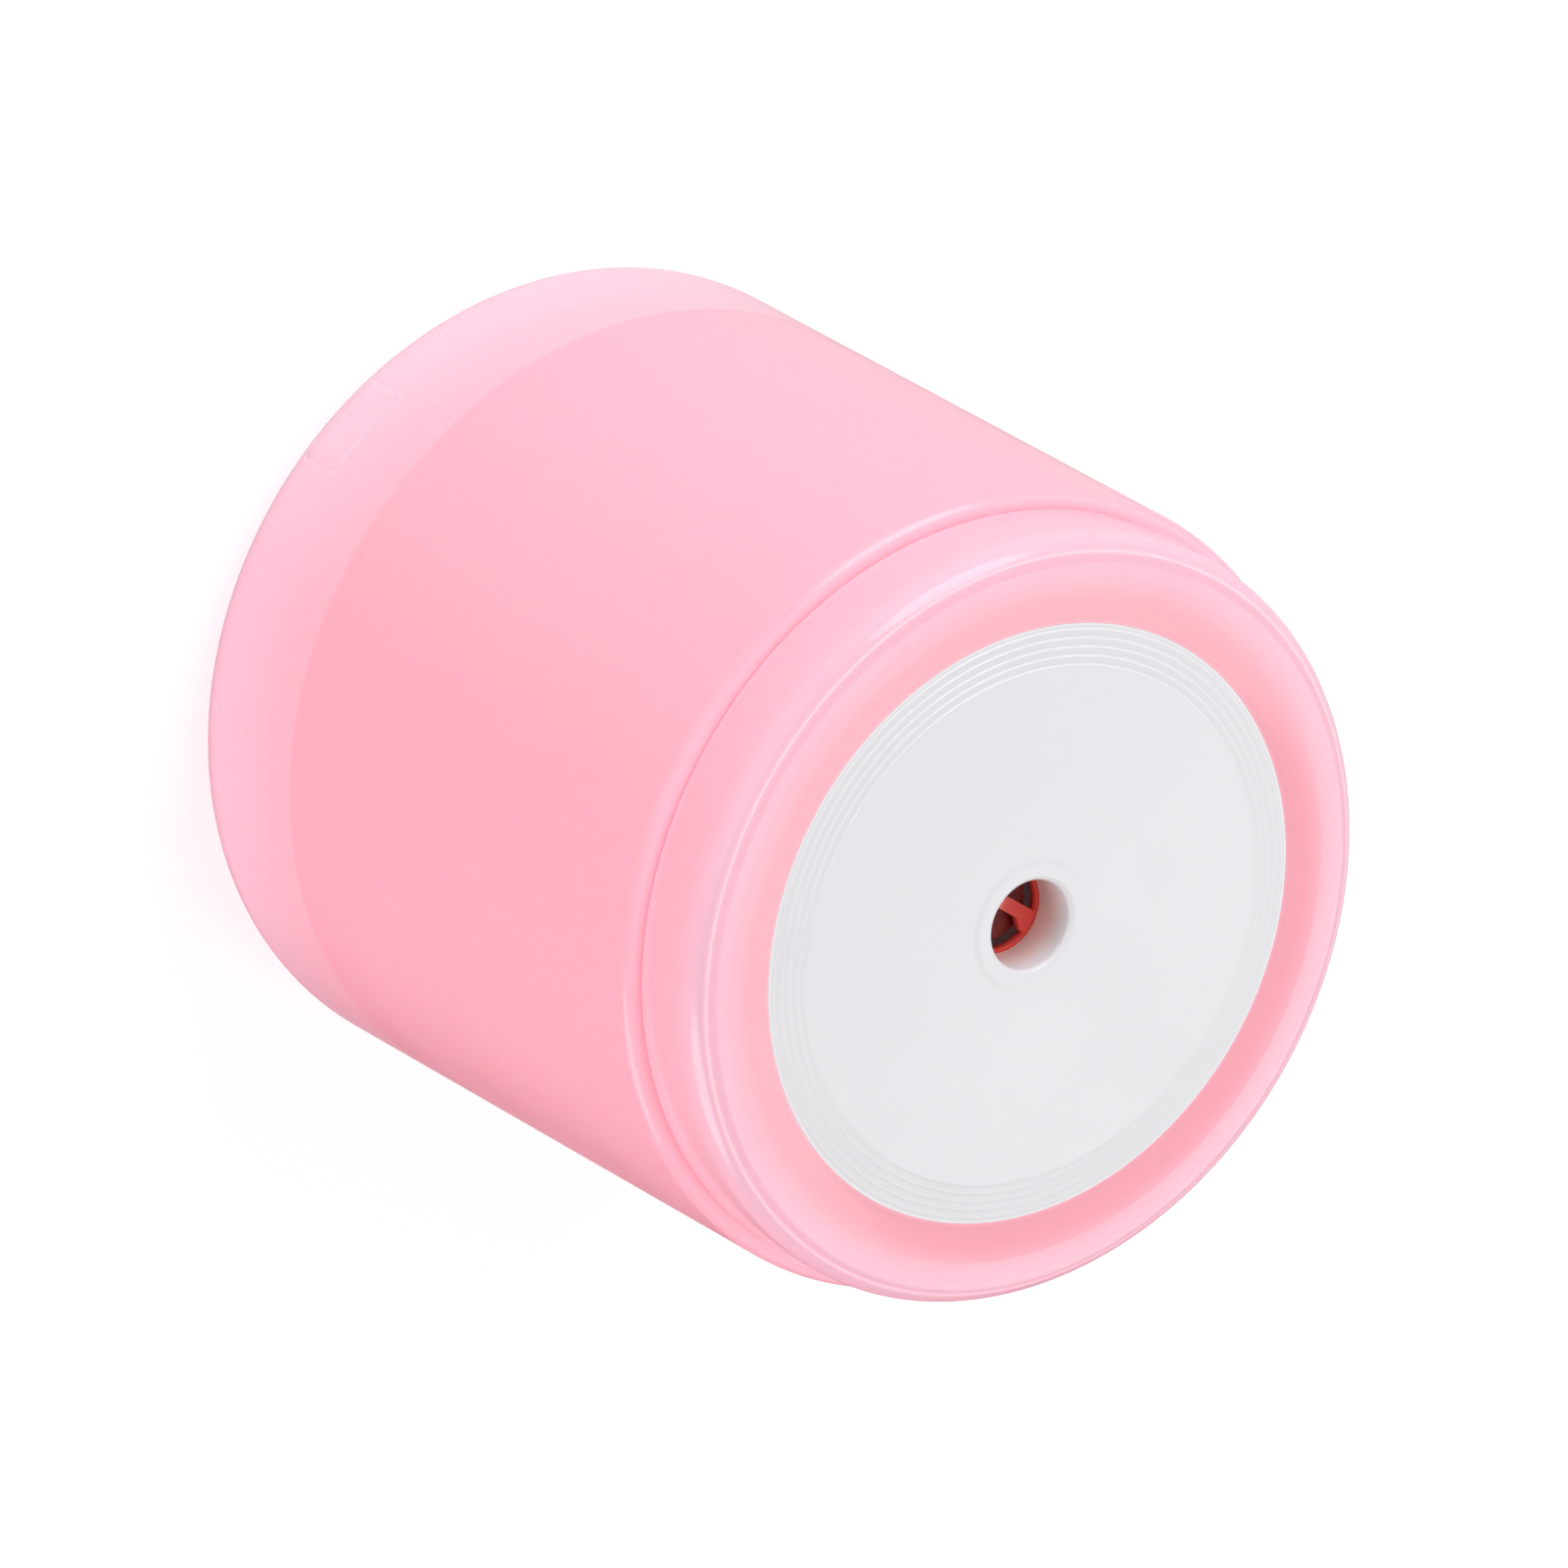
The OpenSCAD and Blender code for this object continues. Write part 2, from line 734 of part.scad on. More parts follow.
module battery_cell() {
  color("steelblue") translate([-cell_len / 2, cell_y, cell_z]) rotate([0, 90, 0]) {
    cylinder(r = cell_r, h = cell_len);
    translate([0, 0, cell_len - cut]) cylinder(r = 2.6, h = cut + 0.8);
  }
}

module battery_tray() {
  end_x = cell_len / 2 + 1.2;
  tray_rim_z = floor_z + 5;
  color("whitesmoke") difference() {
    block([-end_x - 1.2, cell_y - cell_r - 0.8, floor_z + 0.1],
          [end_x + 1.2, cell_y + cell_r + 0.8, tray_rim_z]);
    translate([-end_x, cell_y, cell_z]) rotate([0, 90, 0]) cylinder(r = cell_r + 0.15, h = 2 * end_x);
    around(leg_count, leg_pos_r, leg_phase) disc(leg_boss_r + play, floor_z, tray_rim_z + cut);
  }
}

// Places a piece on the main board, whose outward direction is -Y before the turn
module on_board() {
  rotate([0, 0, port_angle]) translate([0, 0, board_z]) children();
}

module circuit_board() {
  color("darkgreen") on_board() difference() {
    block([-board_w / 2, -board_far, 0], [board_w / 2, -board_near, board_t]);
    for (x = [-1, 1]) translate([x * board_screw_side, -board_screw_at, 0]) disc(1, -cut, board_t + cut);
  }
}

module board_chips() {
  color("black") on_board() {
    block([-2.5, -24.6, board_t], [2.5, -19.6, board_t + 1.5]);
    block([5, -26, board_t], [8.4, -22.6, board_t + 2.4]);
    block([-8.4, -25, board_t], [-5.8, -23.4, board_t + 1]);
    block([-8.4, -28, board_t], [-5.8, -26.4, board_t + 1]);
  }
}

module board_screws() {
  head_h = 1.2;
  color("silver") on_board() for (x = [-1, 1])
    translate([x * board_screw_side, -board_screw_at, board_t + head_h]) rotate([180, 0, 0])
      screw(1.8, head_h, 0.85, 3);
}

module charge_socket() {
  wall = 0.3;
  mouth_w = socket_w - 2 * wall;
  mouth_h = socket_h - 2 * wall;
  round_end = socket_h / 2 - 0.05;
  color("silver") rotate([0, 0, port_angle]) translate([0, 0, port_z]) {
    difference() {
      rounded_bar(socket_w, socket_h, round_end, -socket_far, -socket_far + socket_len);
      rounded_bar(mouth_w, mouth_h, round_end - wall, -socket_far - cut, -socket_far + 6);
    }
    block([-3.35, -socket_far + 0.6, -0.35], [3.35, -socket_far + 6 + cut, 0.35]);
  }
}

module port_flap() {
  color("lightpink") {
    difference() {
      intersection() {
        rotate_extrude() shell_section();
        port_bar(port_w - 2 * flap_gap, port_h - 2 * flap_gap);
      }
      disc(flap_in_r, base_z, shoulder_z);
    }
    rotate([0, 0, port_angle]) translate([0, 0, port_z])
      rounded_bar(6, 2.4, 1, -flap_in_r - 0.4, -socket_far - 0.6);
  }
}

module power_button() {
  color("white") {
    intersection() {
      translate([0, body_r, button_z]) rotate([90, 0, 0]) cylinder(r = button_r, h = body_r - button_back_y);
      disc(body_r - 0.1, 0, shoulder_z);
    }
    translate([0, button_back_y + 0.8, button_z]) rotate([90, 0, 0]) cylinder(r = button_flange_r, h = 0.8);
    translate([0, button_back_y + cut, button_z]) rotate([90, 0, 0]) cylinder(r = 2.2, h = cut + 0.4);
  }
}

module switch_plunger() {
  color("black") translate([0, button_back_y - 0.4, button_z]) rotate([90, 0, 0])
    cylinder(r = plunger_r, h = 1.3, $fn = 32);
}

module tact_switch() {
  board_face = switch_board_y + board_t;
  color("dimgray") difference() {
    block([-3, board_face, button_z - 3], [3, board_face + 3.5, button_z + 3]);
    translate([0, board_face + 3.5 + cut, button_z]) rotate([90, 0, 0])
      cylinder(r = plunger_r + 0.15, h = 1.2 + cut, $fn = 32);
  }
}

module switch_board() {
  half = switch_board_w / 2;
  color("darkgreen")
    block([-half, switch_board_y, floor_z + 1.2], [half, switch_board_y + board_t, drum_start_z - 0.6]);
}

module status_led() {
  color("aqua") translate([0, switch_board_y + board_t, button_z + 4.6]) rotate([-90, 0, 0]) {
    cylinder(r = 1.25, h = 1.6, $fn = 32);
    translate([0, 0, 1.6]) sphere(r = 1.25, $fn = 32);
  }
}

// ---------- wires inside, from each terminal to the top of the main board ----------

module motor_leads() {
  color("crimson") for (side = [-1, 1]) wire([
    [side * lead_x, -motor_flat / 2 - 1, motor_z + 0.55],
    [side * lead_x, -motor_flat / 2 - 1, 15],
    [side * 3, -13, 9],
    [side * 2.4, -16.4, board_wire_z]
  ]);
}

module battery_leads() {
  end_x = cell_len / 2;
  color("black") {
    wire([
      [end_x + 1.3, cell_y, cell_z], [27, 4, 9], [22, -8, 7.4],
      [5.5, -17, 7.4], [4.6, -17.6, board_wire_z]
    ]);
    wire([
      [-end_x - 0.6, cell_y, cell_z + 4], [-27, 4, 11], [-22, -6, 8],
      [-8.6, -13.8, 7.4], [-8.2, -14.4, board_wire_z]
    ]);
  }
}

module switch_leads() {
  color("orange") for (lift = [0, 2]) wire([
    [4, switch_board_y - 0.1, 6 + lift], [5, 25, 6.2 + lift], [11, 21, 6.4 + lift],
    [16.4, 16.4, 6.4 + lift], [24, 16.2, 8.6 + lift], [28.4, 12, 7 + lift],
    [28.6, -2, 6.4 + lift], [22, -14, 6.4 + lift], [9, -20.2, 8 + lift],
    [3 - lift, -22.4, board_wire_z]
  ]);
}

suction_plate();
bezel_ring();
lid_collar();
inlet_guard();
lid_screws();
rim_seal();
filter_cup();
filter_grid();
filter_pad();
filter_clamp();
filter_gasket();
fan_cover();
impeller();
fan_deck();
deck_screws();
motor_can();
motor_magnets();
motor_end_cap();
motor_bushes();
motor_brushes();
motor_terminals();
rotor_core();
rotor_windings();
commutator();
motor_shaft();
inner_drum();
motor_tray();
outer_shell();
foot_pads();
base_screws();
battery_cell();
battery_tray();
circuit_board();
board_chips();
board_screws();
charge_socket();
port_flap();
power_button();
switch_plunger();
tact_switch();
switch_board();
status_led();
motor_leads();
battery_leads();
switch_leads();
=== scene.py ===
"""Looks of the nail dust collector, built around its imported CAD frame.

Lengths are in millimetres until a mesh is made, and +Z is up through the suction hole.
Pieces that are seen get finer meshes of their own. The rest keep their CAD meshes, with softened
edges, and every piece gets a procedural material.
"""
import json
import math

import bmesh
import bpy
from mathutils import Matrix, Vector


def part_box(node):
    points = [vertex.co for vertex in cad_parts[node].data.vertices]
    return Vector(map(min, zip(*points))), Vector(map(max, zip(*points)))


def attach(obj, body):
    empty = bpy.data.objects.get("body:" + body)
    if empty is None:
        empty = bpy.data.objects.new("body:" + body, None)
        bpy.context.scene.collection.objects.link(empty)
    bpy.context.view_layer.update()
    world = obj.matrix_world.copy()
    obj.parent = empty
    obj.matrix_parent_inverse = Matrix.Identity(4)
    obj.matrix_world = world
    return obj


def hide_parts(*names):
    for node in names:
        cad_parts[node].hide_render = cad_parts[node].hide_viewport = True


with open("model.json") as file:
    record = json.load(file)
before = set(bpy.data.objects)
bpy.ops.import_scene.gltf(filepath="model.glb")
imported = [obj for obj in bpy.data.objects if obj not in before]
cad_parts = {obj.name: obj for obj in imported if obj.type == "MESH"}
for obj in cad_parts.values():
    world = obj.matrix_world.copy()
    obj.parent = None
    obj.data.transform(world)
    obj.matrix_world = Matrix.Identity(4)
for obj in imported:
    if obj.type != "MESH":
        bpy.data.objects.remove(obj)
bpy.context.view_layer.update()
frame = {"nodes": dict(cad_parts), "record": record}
nodes = frame["nodes"]

MM = 0.001
ROUND_STEPS = 5
TURN_STEPS = 240


def box_mm(node):
    """Lowest and highest corner of a CAD node, in millimetres."""
    low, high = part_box(node)
    return low / MM, high / MM


# ---------------------------------------------------------------- sizes taken from the frame

shell_low, shell_high = box_mm("outer_shell")
plate_low, plate_high = box_mm("suction_plate")
button_low, button_high = box_mm("power_button")
pad_low, pad_high = box_mm("filter_pad")
seal_low, seal_high = box_mm("rim_seal")
DRUM_EDGE_Z = box_mm("inner_drum")[0].z
FOOT_TOP_Z = box_mm("foot_pads")[1].z
CELL_END_X = box_mm("battery_cell")[1].x

BODY_R = shell_high.x
BASE_Z = shell_low.z
SHOULDER_Z = shell_high.z
BASE_FILLET = 5.5
WALL = 2.0
FLOOR_T = 2.2
RIM_ROUND = 1.3

LID_R = box_mm("lid_collar")[1].x
LID_Z = SHOULDER_Z + 0.02
LID_TOP_Z = box_mm("bezel_ring")[1].z
LID_ROUND = 2.3
LID_WALL = 1.6
ROUND_R = LID_R - LID_ROUND
ROUND_Z = LID_TOP_Z - LID_ROUND
SEAM_ANGLE = math.radians(62)
SEAM_R = ROUND_R + LID_ROUND * math.cos(SEAM_ANGLE)
HAIRLINE = 0.004
SHELF_Z = LID_TOP_Z - 3.0
SHELF_T = 1.0
FLANGE_IN_R = 19.5
FLANGE_T = 1.2
BOSS_COUNT = 3
BOSS_AT_R = 22.5
BOSS_R = 2.6

PLATE_R = plate_high.x
PLATE_TOP_Z = plate_high.z
PLATE_RIM_Z = LID_TOP_Z - 0.3
PLATE_Z = PLATE_RIM_Z - 1.6
HOLE_R = 4.2
TUBE_WALL = 1.4
TUBE_Z = plate_low.z
LIP_ROUND = 0.6
STEPS = 5
STEP_H = 0.1
STEP_PITCH = 0.8
STEPS_INSET = 0.5

PORT_TURN = math.radians(-15)
PORT_Z = 6.9
PORT_W = 9.2
PORT_H = 5.2
PORT_IN_W = 8.6
PORT_IN_H = 3.8
PORT_CORNER = 0.8
FLAP_GAP = 0.008

BUTTON_R = 4.4
BUTTON_GAP = 0.25
BUTTON_Z = (button_low.z + button_high.z) / 2
VENTS_A_SIDE = 6
VENT_FIRST = 26.0
VENT_PITCH = 7.5
VENT_W = 1.6
VENT_H = 8.0

FOOT_COUNT = 4
FOOT_AT_R = 28.5
FOOT_R = 4.6
FOOT_RECESS = 0.8

# ---------------------------------------------------------------- mesh building


def rounded(outline, steps=ROUND_STEPS):
    """A closed outline of (x, y, radius) corners, with each corner that has a radius made an arc."""
    points = []
    for i, (x, y, radius) in enumerate(outline):
        corner = Vector((x, y))
        if radius <= 0:
            points.append(corner)
            continue
        to_last = Vector(outline[i - 1][:2]) - corner
        to_next = Vector(outline[(i + 1) % len(outline)][:2]) - corner
        half = to_last.angle(to_next) / 2
        reach = min(radius / math.tan(half), 0.49 * to_last.length, 0.49 * to_next.length)
        radius = reach * math.tan(half)
        to_last.normalize()
        to_next.normalize()
        centre = corner + (to_last + to_next).normalized() * (radius / math.sin(half))
        first = corner + to_last * reach - centre
        last = corner + to_next * reach - centre
        for k in range(steps + 1):
            blend = first.lerp(last, k / steps)
            points.append(centre + blend.normalized() * radius)
    return points


def arc(cx, cy, radius, start, end, steps=16):
    """Corners of an arc, which need no rounding of their own."""
    corners = []
    for k in range(steps + 1):
        a = start + (end - start) * k / steps
        corners.append((cx + radius * math.cos(a), cy + radius * math.sin(a), 0))
    return corners


def lathe(outline, turn_steps=TURN_STEPS):
    """A bmesh of a closed (r, z) outline turned about Z. Points on the axis close to one vertex."""
    bm = bmesh.new()
    rings = []
    for r, z in outline:
        if r < 1e-6:
            rings.append([bm.verts.new((0, 0, z))] * turn_steps)
            continue
        ring = []
        for k in range(turn_steps):
            a = 2 * math.pi * k / turn_steps
            ring.append(bm.verts.new((r * math.cos(a), r * math.sin(a), z)))
        rings.append(ring)
    for i, ring in enumerate(rings):
        after = rings[(i + 1) % len(rings)]
        for k in range(turn_steps):
            n = (k + 1) % turn_steps
            corners = []
            for v in (ring[k], ring[n], after[n], after[k]):
                if v not in corners:
                    corners.append(v)
            if len(corners) > 2:
                bm.faces.new(corners)
    bmesh.ops.recalc_face_normals(bm, faces=bm.faces)
    return bm


def bar(outline, y0, y1):
    """A bmesh of a closed (x, z) outline drawn out along Y."""
    bm = bmesh.new()
    near = [bm.verts.new((x, y0, z)) for x, z in outline]
    far = [bm.verts.new((x, y1, z)) for x, z in outline]
    bm.faces.new(near)
    bm.faces.new(list(reversed(far)))
    for i in range(len(near)):
        n = (i + 1) % len(near)
        bm.faces.new((near[i], far[i], far[n], near[n]))
    bmesh.ops.recalc_face_normals(bm, faces=bm.faces)
    return bm


def slab(width, height, corner, y0, y1):
    """A bar with rounded corners, centred on the Y axis."""
    w, h = width / 2, height / 2
    corners = [(-w, -h, corner), (w, -h, corner), (w, h, corner), (-w, h, corner)]
    return bar(rounded(corners, 6), y0, y1)


def moved(bm, matrix):
    bmesh.ops.transform(bm, matrix=matrix, verts=bm.verts)
    return bm


def joined(parts):
    """One bmesh made of several, which it uses up."""
    whole = bmesh.new()
    for part in parts:
        mesh = bpy.data.meshes.new("part")
        part.to_mesh(mesh)
        part.free()
        whole.from_mesh(mesh)
        bpy.data.meshes.remove(mesh)
    return whole


def as_object(bm, name):
    """A scene object of a bmesh in millimetres."""
    bmesh.ops.scale(bm, vec=(MM, MM, MM), verts=bm.verts)
    mesh = bpy.data.meshes.new(name)
    bm.to_mesh(mesh)
    bm.free()
    obj = bpy.data.objects.new(name, mesh)
    bpy.context.scene.collection.objects.link(obj)
    return obj


def keep_modifiers(obj):
    """Makes the result of an object's modifiers its mesh."""
    bpy.context.view_layer.update()
    graph = bpy.context.evaluated_depsgraph_get()
    mesh = bpy.data.meshes.new_from_object(obj.evaluated_get(graph))
    obj.modifiers.clear()
    obj.data = mesh


def combine(obj, tool, operation):
    """Cuts, joins or intersects an object with another, which it uses up."""
    mod = obj.modifiers.new("boolean", "BOOLEAN")
    mod.operation = operation
    mod.solver = "EXACT"
    mod.object = tool
    keep_modifiers(obj)
    bpy.data.objects.remove(tool)


def boolean(obj, tool_bm, operation):
    """Cuts, joins or intersects an object with a bmesh in millimetres."""
    combine(obj, as_object(tool_bm, "tool"), operation)


def smooth(obj, angle=38):
    """Smooth shading that breaks at edges sharper than the angle."""
    bm = bmesh.new()
    bm.from_mesh(obj.data)
    for face in bm.faces:
        face.smooth = True
    for edge in bm.edges:
        edge.smooth = edge.calc_face_angle(0) < math.radians(angle)
    bm.to_mesh(obj.data)
    bm.free()


def soften(obj, width, segments=2, angle=32):
    """Rounds an object's edges with a bevel that keeps flat faces flat."""
    mod = obj.modifiers.new("soft_edges", "BEVEL")
    mod.width = width * MM
    mod.segments = segments
    mod.limit_method = "ANGLE"
    mod.angle_limit = math.radians(angle)
    mod.harden_normals = True
    mod.use_clamp_overlap = True


# ---------------------------------------------------------------- materials


class Shader:
    """A Principled material that is built up node by node."""

    def __init__(self, name, **values):
        self.material = bpy.data.materials.new(name)
        self.material.use_nodes = True
        self.tree = self.material.node_tree
        self.bsdf = self.tree.nodes["Principled BSDF"]
        for socket, value in values.items():
            self.bsdf.inputs[socket.replace("_", " ")].default_value = value
        self.coord = self.add("ShaderNodeTexCoord").outputs["Object"]

    def add(self, kind, **inputs):
        node = self.tree.nodes.new(kind)
        for socket, value in inputs.items():
            self.feed(node.inputs[socket.replace("_", " ")], value)
        return node

    def feed(self, socket, value):
        if isinstance(value, bpy.types.NodeSocket):
            self.tree.links.new(value, socket)
        else:
            socket.default_value = value

    def noise(self, scale, detail=3.0, rough=0.5):
        node = self.add("ShaderNodeTexNoise", Vector=self.coord, Scale=scale, Detail=detail, Roughness=rough)
        return node.outputs["Fac"]

    def ramp(self, value, low, high, to_low=0.0, to_high=1.0):
        """A smooth step of a value from low to high."""
        node = self.add("ShaderNodeMapRange", Value=value)
        node.interpolation_type = "SMOOTHSTEP"
        limits = {"From Min": low, "From Max": high, "To Min": to_low, "To Max": to_high}
        for socket, number in limits.items():
            node.inputs[socket].default_value = number
        return node.outputs["Result"]

    def math(self, operation, a, b=0.0):
        node = self.tree.nodes.new("ShaderNodeMath")
        node.operation = operation
        self.feed(node.inputs[0], a)
        self.feed(node.inputs[1], b)
        return node.outputs[0]

    def mix(self, factor, a, b):
        node = self.tree.nodes.new("ShaderNodeMix")
        node.data_type = "RGBA"
        self.feed(node.inputs[0], factor)
        self.feed(node.inputs[6], a)
        self.feed(node.inputs[7], b)
        return node.outputs[2]

    def axis(self, letter):
        node = self.add("ShaderNodeSeparateXYZ", Vector=self.coord)
        return node.outputs[letter]

    def radius(self):
        """Distance from the Z axis."""
        flat = self.add("ShaderNodeCombineXYZ", X=self.axis("X"), Y=self.axis("Y"))
        node = self.tree.nodes.new("ShaderNodeVectorMath")
        node.operation = "LENGTH"
        self.feed(node.inputs[0], flat.outputs[0])
        return node.outputs["Value"]

    def glow(self, colour, strength):
        """Faint emission, which stands for light bleeding out where the plastic is thin or has an edge."""
        self.feed(self.bsdf.inputs["Emission Color"], colour)
        self.feed(self.bsdf.inputs["Emission Strength"], strength)

    def front(self):
        """1 on the -Y half and 0 behind it."""
        return self.ramp(self.axis("Y"), -0.001, 0.0, 1.0, 0.0)

    def colour(self, value):
        self.feed(self.bsdf.inputs["Base Color"], value)

    def mottle(self, value, amount, scale):
        """A colour that drifts a little darker in soft patches."""
        fac = self.ramp(self.noise(scale), 0.35, 0.7, 0.0, amount)
        dark = self.mix(0.5, value, (0.0, 0.0, 0.0, 1.0))
        return self.mix(fac, value, dark)

    def rough(self, low, high, scale):
        self.feed(self.bsdf.inputs["Roughness"], self.ramp(self.noise(scale), 0.3, 0.7, low, high))

    def bump(self, height, distance, strength=1.0):
        node = self.add("ShaderNodeBump", Height=height, Distance=distance, Strength=strength)
        self.feed(self.bsdf.inputs["Normal"], node.outputs["Normal"])


def srgb(r, g, b):
    """A linear colour from the usual 0 to 255 numbers."""
    def line(c):
        c /= 255
        return c / 12.92 if c <= 0.04045 else ((c + 0.055) / 1.055) ** 2.4
    return (line(r), line(g), line(b), 1.0)


PINK = srgb(255, 174, 190)
# Painted light: a lighter pink for the shell, up to the drum's edge and on the shoulder's rounding
PINK_PAINTED_LIT = srgb(255, 184, 199)
# Painted light: the lightest pink, low on the shell where light comes through the wall that no drum backs
PINK_LIT_BASE = srgb(255, 194, 211)
PINK_LID = srgb(255, 179, 195)
# Painted light: lighter pink for the lid's rounded top edge, and the colour of the painted glows
PINK_PAINTED_LIGHT = srgb(255, 187, 204)
# Painted shade: deeper pink for the lid's band next to the plate
PINK_SHADED_BAND = srgb(255, 166, 180)
# Painted highlight: the near-white line at the lid's seam
PINK_GLINT = srgb(255, 222, 231)
# Strengths of the painted glow lines at the lid's seam and round the port flap
SEAM_GLOW = 0.2
OUTLINE_GLOW = 0.14


def milky(name, rough=0.2):
    """Milky translucent glossy plastic, with light bleeding through it."""
    return Shader(
        name, Subsurface_Weight=0.5, Subsurface_Radius=(1.0, 0.42, 0.5), Subsurface_Scale=0.0035,
        Roughness=rough, IOR=1.47, Coat_Weight=0.15, Coat_Roughness=0.08,
    )


def shell_material(name):
    """Pink shell: painted light below the inner drum's edge, where light comes through the wall that nothing
    backs, a painted lighter band at the shoulder, and painted glow at its rim and the flap's outline.
    """
    s = milky(name)
    z = s.axis("Z")
    drum_edge = DRUM_EDGE_Z * MM
    # Painted light: lighter towards the bottom below the inner drum's edge, where light comes through the
    # wall with nothing behind it
    below = s.mix(s.ramp(z, 0.006, drum_edge), PINK_LIT_BASE, PINK_PAINTED_LIT)
    backed = s.ramp(z, drum_edge - 0.0003, drum_edge + 0.0004)
    tone = s.mix(backed, below, PINK)
    # Painted light: lightened towards the shoulder's rounding, where the lid shades it
    tone = s.mix(s.ramp(z, (SHOULDER_Z - 1.2) * MM, (SHOULDER_Z - 0.2) * MM, 0.0, 0.6), tone, PINK_PAINTED_LIT)
    # Painted glow: a faint light line round the port flap's outline, on the front half only
    across = s.math("MULTIPLY", s.axis("X"), math.cos(PORT_TURN))
    across = s.math("ADD", across, s.math("MULTIPLY", s.axis("Y"), math.sin(PORT_TURN)))
    beside = s.math("SUBTRACT", s.math("ABSOLUTE", across), PORT_W / 2 * MM)
    above = s.math("SUBTRACT", s.math("ABSOLUTE", s.math("SUBTRACT", z, PORT_Z * MM)), PORT_H / 2 * MM)
    off_outline = s.math("ABSOLUTE", s.math("MAXIMUM", beside, above))
    outline = s.math("MULTIPLY", s.ramp(off_outline, 0.0001, 0.0003, OUTLINE_GLOW, 0.0), s.front())
    # Painted glow along the shoulder's rim
    rim = s.ramp(z, (SHOULDER_Z - 0.5) * MM, (SHOULDER_Z - 0.1) * MM, 0.0, 0.16)
    s.glow(PINK_PAINTED_LIGHT, s.math("ADD", rim, outline))
    s.colour(s.mottle(tone, 0.02, 28.0))
    s.rough(0.18, 0.26, 60.0)
    s.bump(s.noise(35.0, 2.0), 0.00012, 0.2)
    return s.material


def lid_material(name):
    """Pink lid: painted light on its rounded edge, painted shade next to the plate, a painted highlight line
    at the seam, and painted glow at its foot and by the plate's edge.
    """
    s = milky(name)
    # Painted light: the rounded top edge is lighter than the lid's side
    side = s.ramp(s.axis("Z"), (LID_TOP_Z - 4) * MM, (LID_TOP_Z - 1) * MM)
    # Painted shade: the band next to the plate is a deeper pink
    band = s.ramp(s.radius(), 0.0298, 0.0338, 1.0, 0.0)
    tone = s.mix(band, s.mix(side, PINK_LID, PINK_PAINTED_LIGHT), PINK_SHADED_BAND)
    off_seam = s.math("ABSOLUTE", s.math("SUBTRACT", s.radius(), SEAM_R * MM))
    # Painted highlight: a near-white line at the seam between the two lid rings
    tone = s.mix(s.ramp(off_seam, 0.00003, 0.00010, 0.75, 0.0), tone, PINK_GLINT)
    s.colour(s.mottle(tone, 0.02, 30.0))
    # Painted glow: a light line at the lid's foot, where it meets the shell
    foot = s.ramp(s.axis("Z"), LID_Z * MM, (LID_Z + 1.2) * MM, 0.14, 0.0)
    on_side = s.ramp(s.axis("Z"), (LID_TOP_Z - 1) * MM, (LID_TOP_Z - 0.6) * MM)
    # Painted glow along the seam, near the top of the lid only
    seam = s.math("MULTIPLY", s.ramp(off_seam, 0.00006, 0.0003, SEAM_GLOW, 0.0), on_side)
    # Painted glow: a light line on the lid's inner edge next to the plate
    plate_edge = s.ramp(s.radius(), PLATE_R * MM, (PLATE_R + 0.35) * MM, 0.12, 0.0)
    s.glow(PINK_PAINTED_LIGHT, s.math("ADD", s.math("ADD", foot, seam), plate_edge))
    s.rough(0.14, 0.22, 60.0)
    s.bump(s.noise(40.0, 2.0), 0.0001, 0.2)
    return s.material


def plain_pink(name, tone):
    """Pink plastic of one tone, for the inner drum."""
    s = milky(name, 0.25)
    s.colour(s.mottle(tone, 0.04, 40.0))
    s.rough(0.2, 0.3, 80.0)
    s.bump(s.noise(60.0, 2.0), 0.00008, 0.2)
    return s.material


def plastic(name, tone, rough, grain=900.0, depth=0.00002, spots=0.04, **values):
    """Moulded plastic with a fine grain."""
    s = Shader(name, **values)
    s.colour(s.mottle(tone, spots, 60.0))
    s.rough(rough - 0.04, rough + 0.05, 120.0)
    s.bump(s.noise(grain, 2.0), depth, 0.4)
    return s.material


def metal(name, tone, rough, stretch=(1.0, 1.0, 12.0)):
    """Plated or drawn metal with faint lines."""
    s = Shader(name, Metallic=1.0)
    mapping = s.add("ShaderNodeMapping", Vector=s.coord)
    mapping.inputs["Scale"].default_value = stretch
    lines = s.add("ShaderNodeTexNoise", Vector=mapping.outputs[0], Scale=700.0, Detail=2.0).outputs["Fac"]
    s.colour(s.mix(s.ramp(lines, 0.3, 0.7, 0.0, 0.25), tone, tuple(0.6 * c for c in tone[:3]) + (1.0,)))
    s.feed(s.bsdf.inputs["Roughness"], s.ramp(lines, 0.3, 0.7, rough - 0.06, rough + 0.08))
    s.bump(lines, 0.00001, 0.3)
    return s.material


def fabric(name, tone):
    """Non-woven filter felt: tangled fibres."""
    s = Shader(name, Sheen_Weight=0.4, Sheen_Roughness=0.5)
    fibres = s.add("ShaderNodeTexVoronoi", Vector=s.coord, Scale=1600.0).outputs["Distance"]
    s.colour(s.mix(s.ramp(fibres, 0.1, 0.7, 0.0, 0.35), tone, tuple(0.75 * c for c in tone[:3]) + (1.0,)))
    s.rough(0.85, 0.95, 300.0)
    s.bump(s.math("ADD", fibres, s.noise(900.0, 4.0, 0.7)), 0.00012, 0.6)
    return s.material


def rubber(name, tone):
    """Dull rubber with a fine grain."""
    s = Shader(name)
    s.colour(s.mottle(tone, 0.2, 90.0))
    s.rough(0.55, 0.75, 200.0)
    s.bump(s.noise(1500.0, 3.0), 0.00003, 0.5)
    return s.material


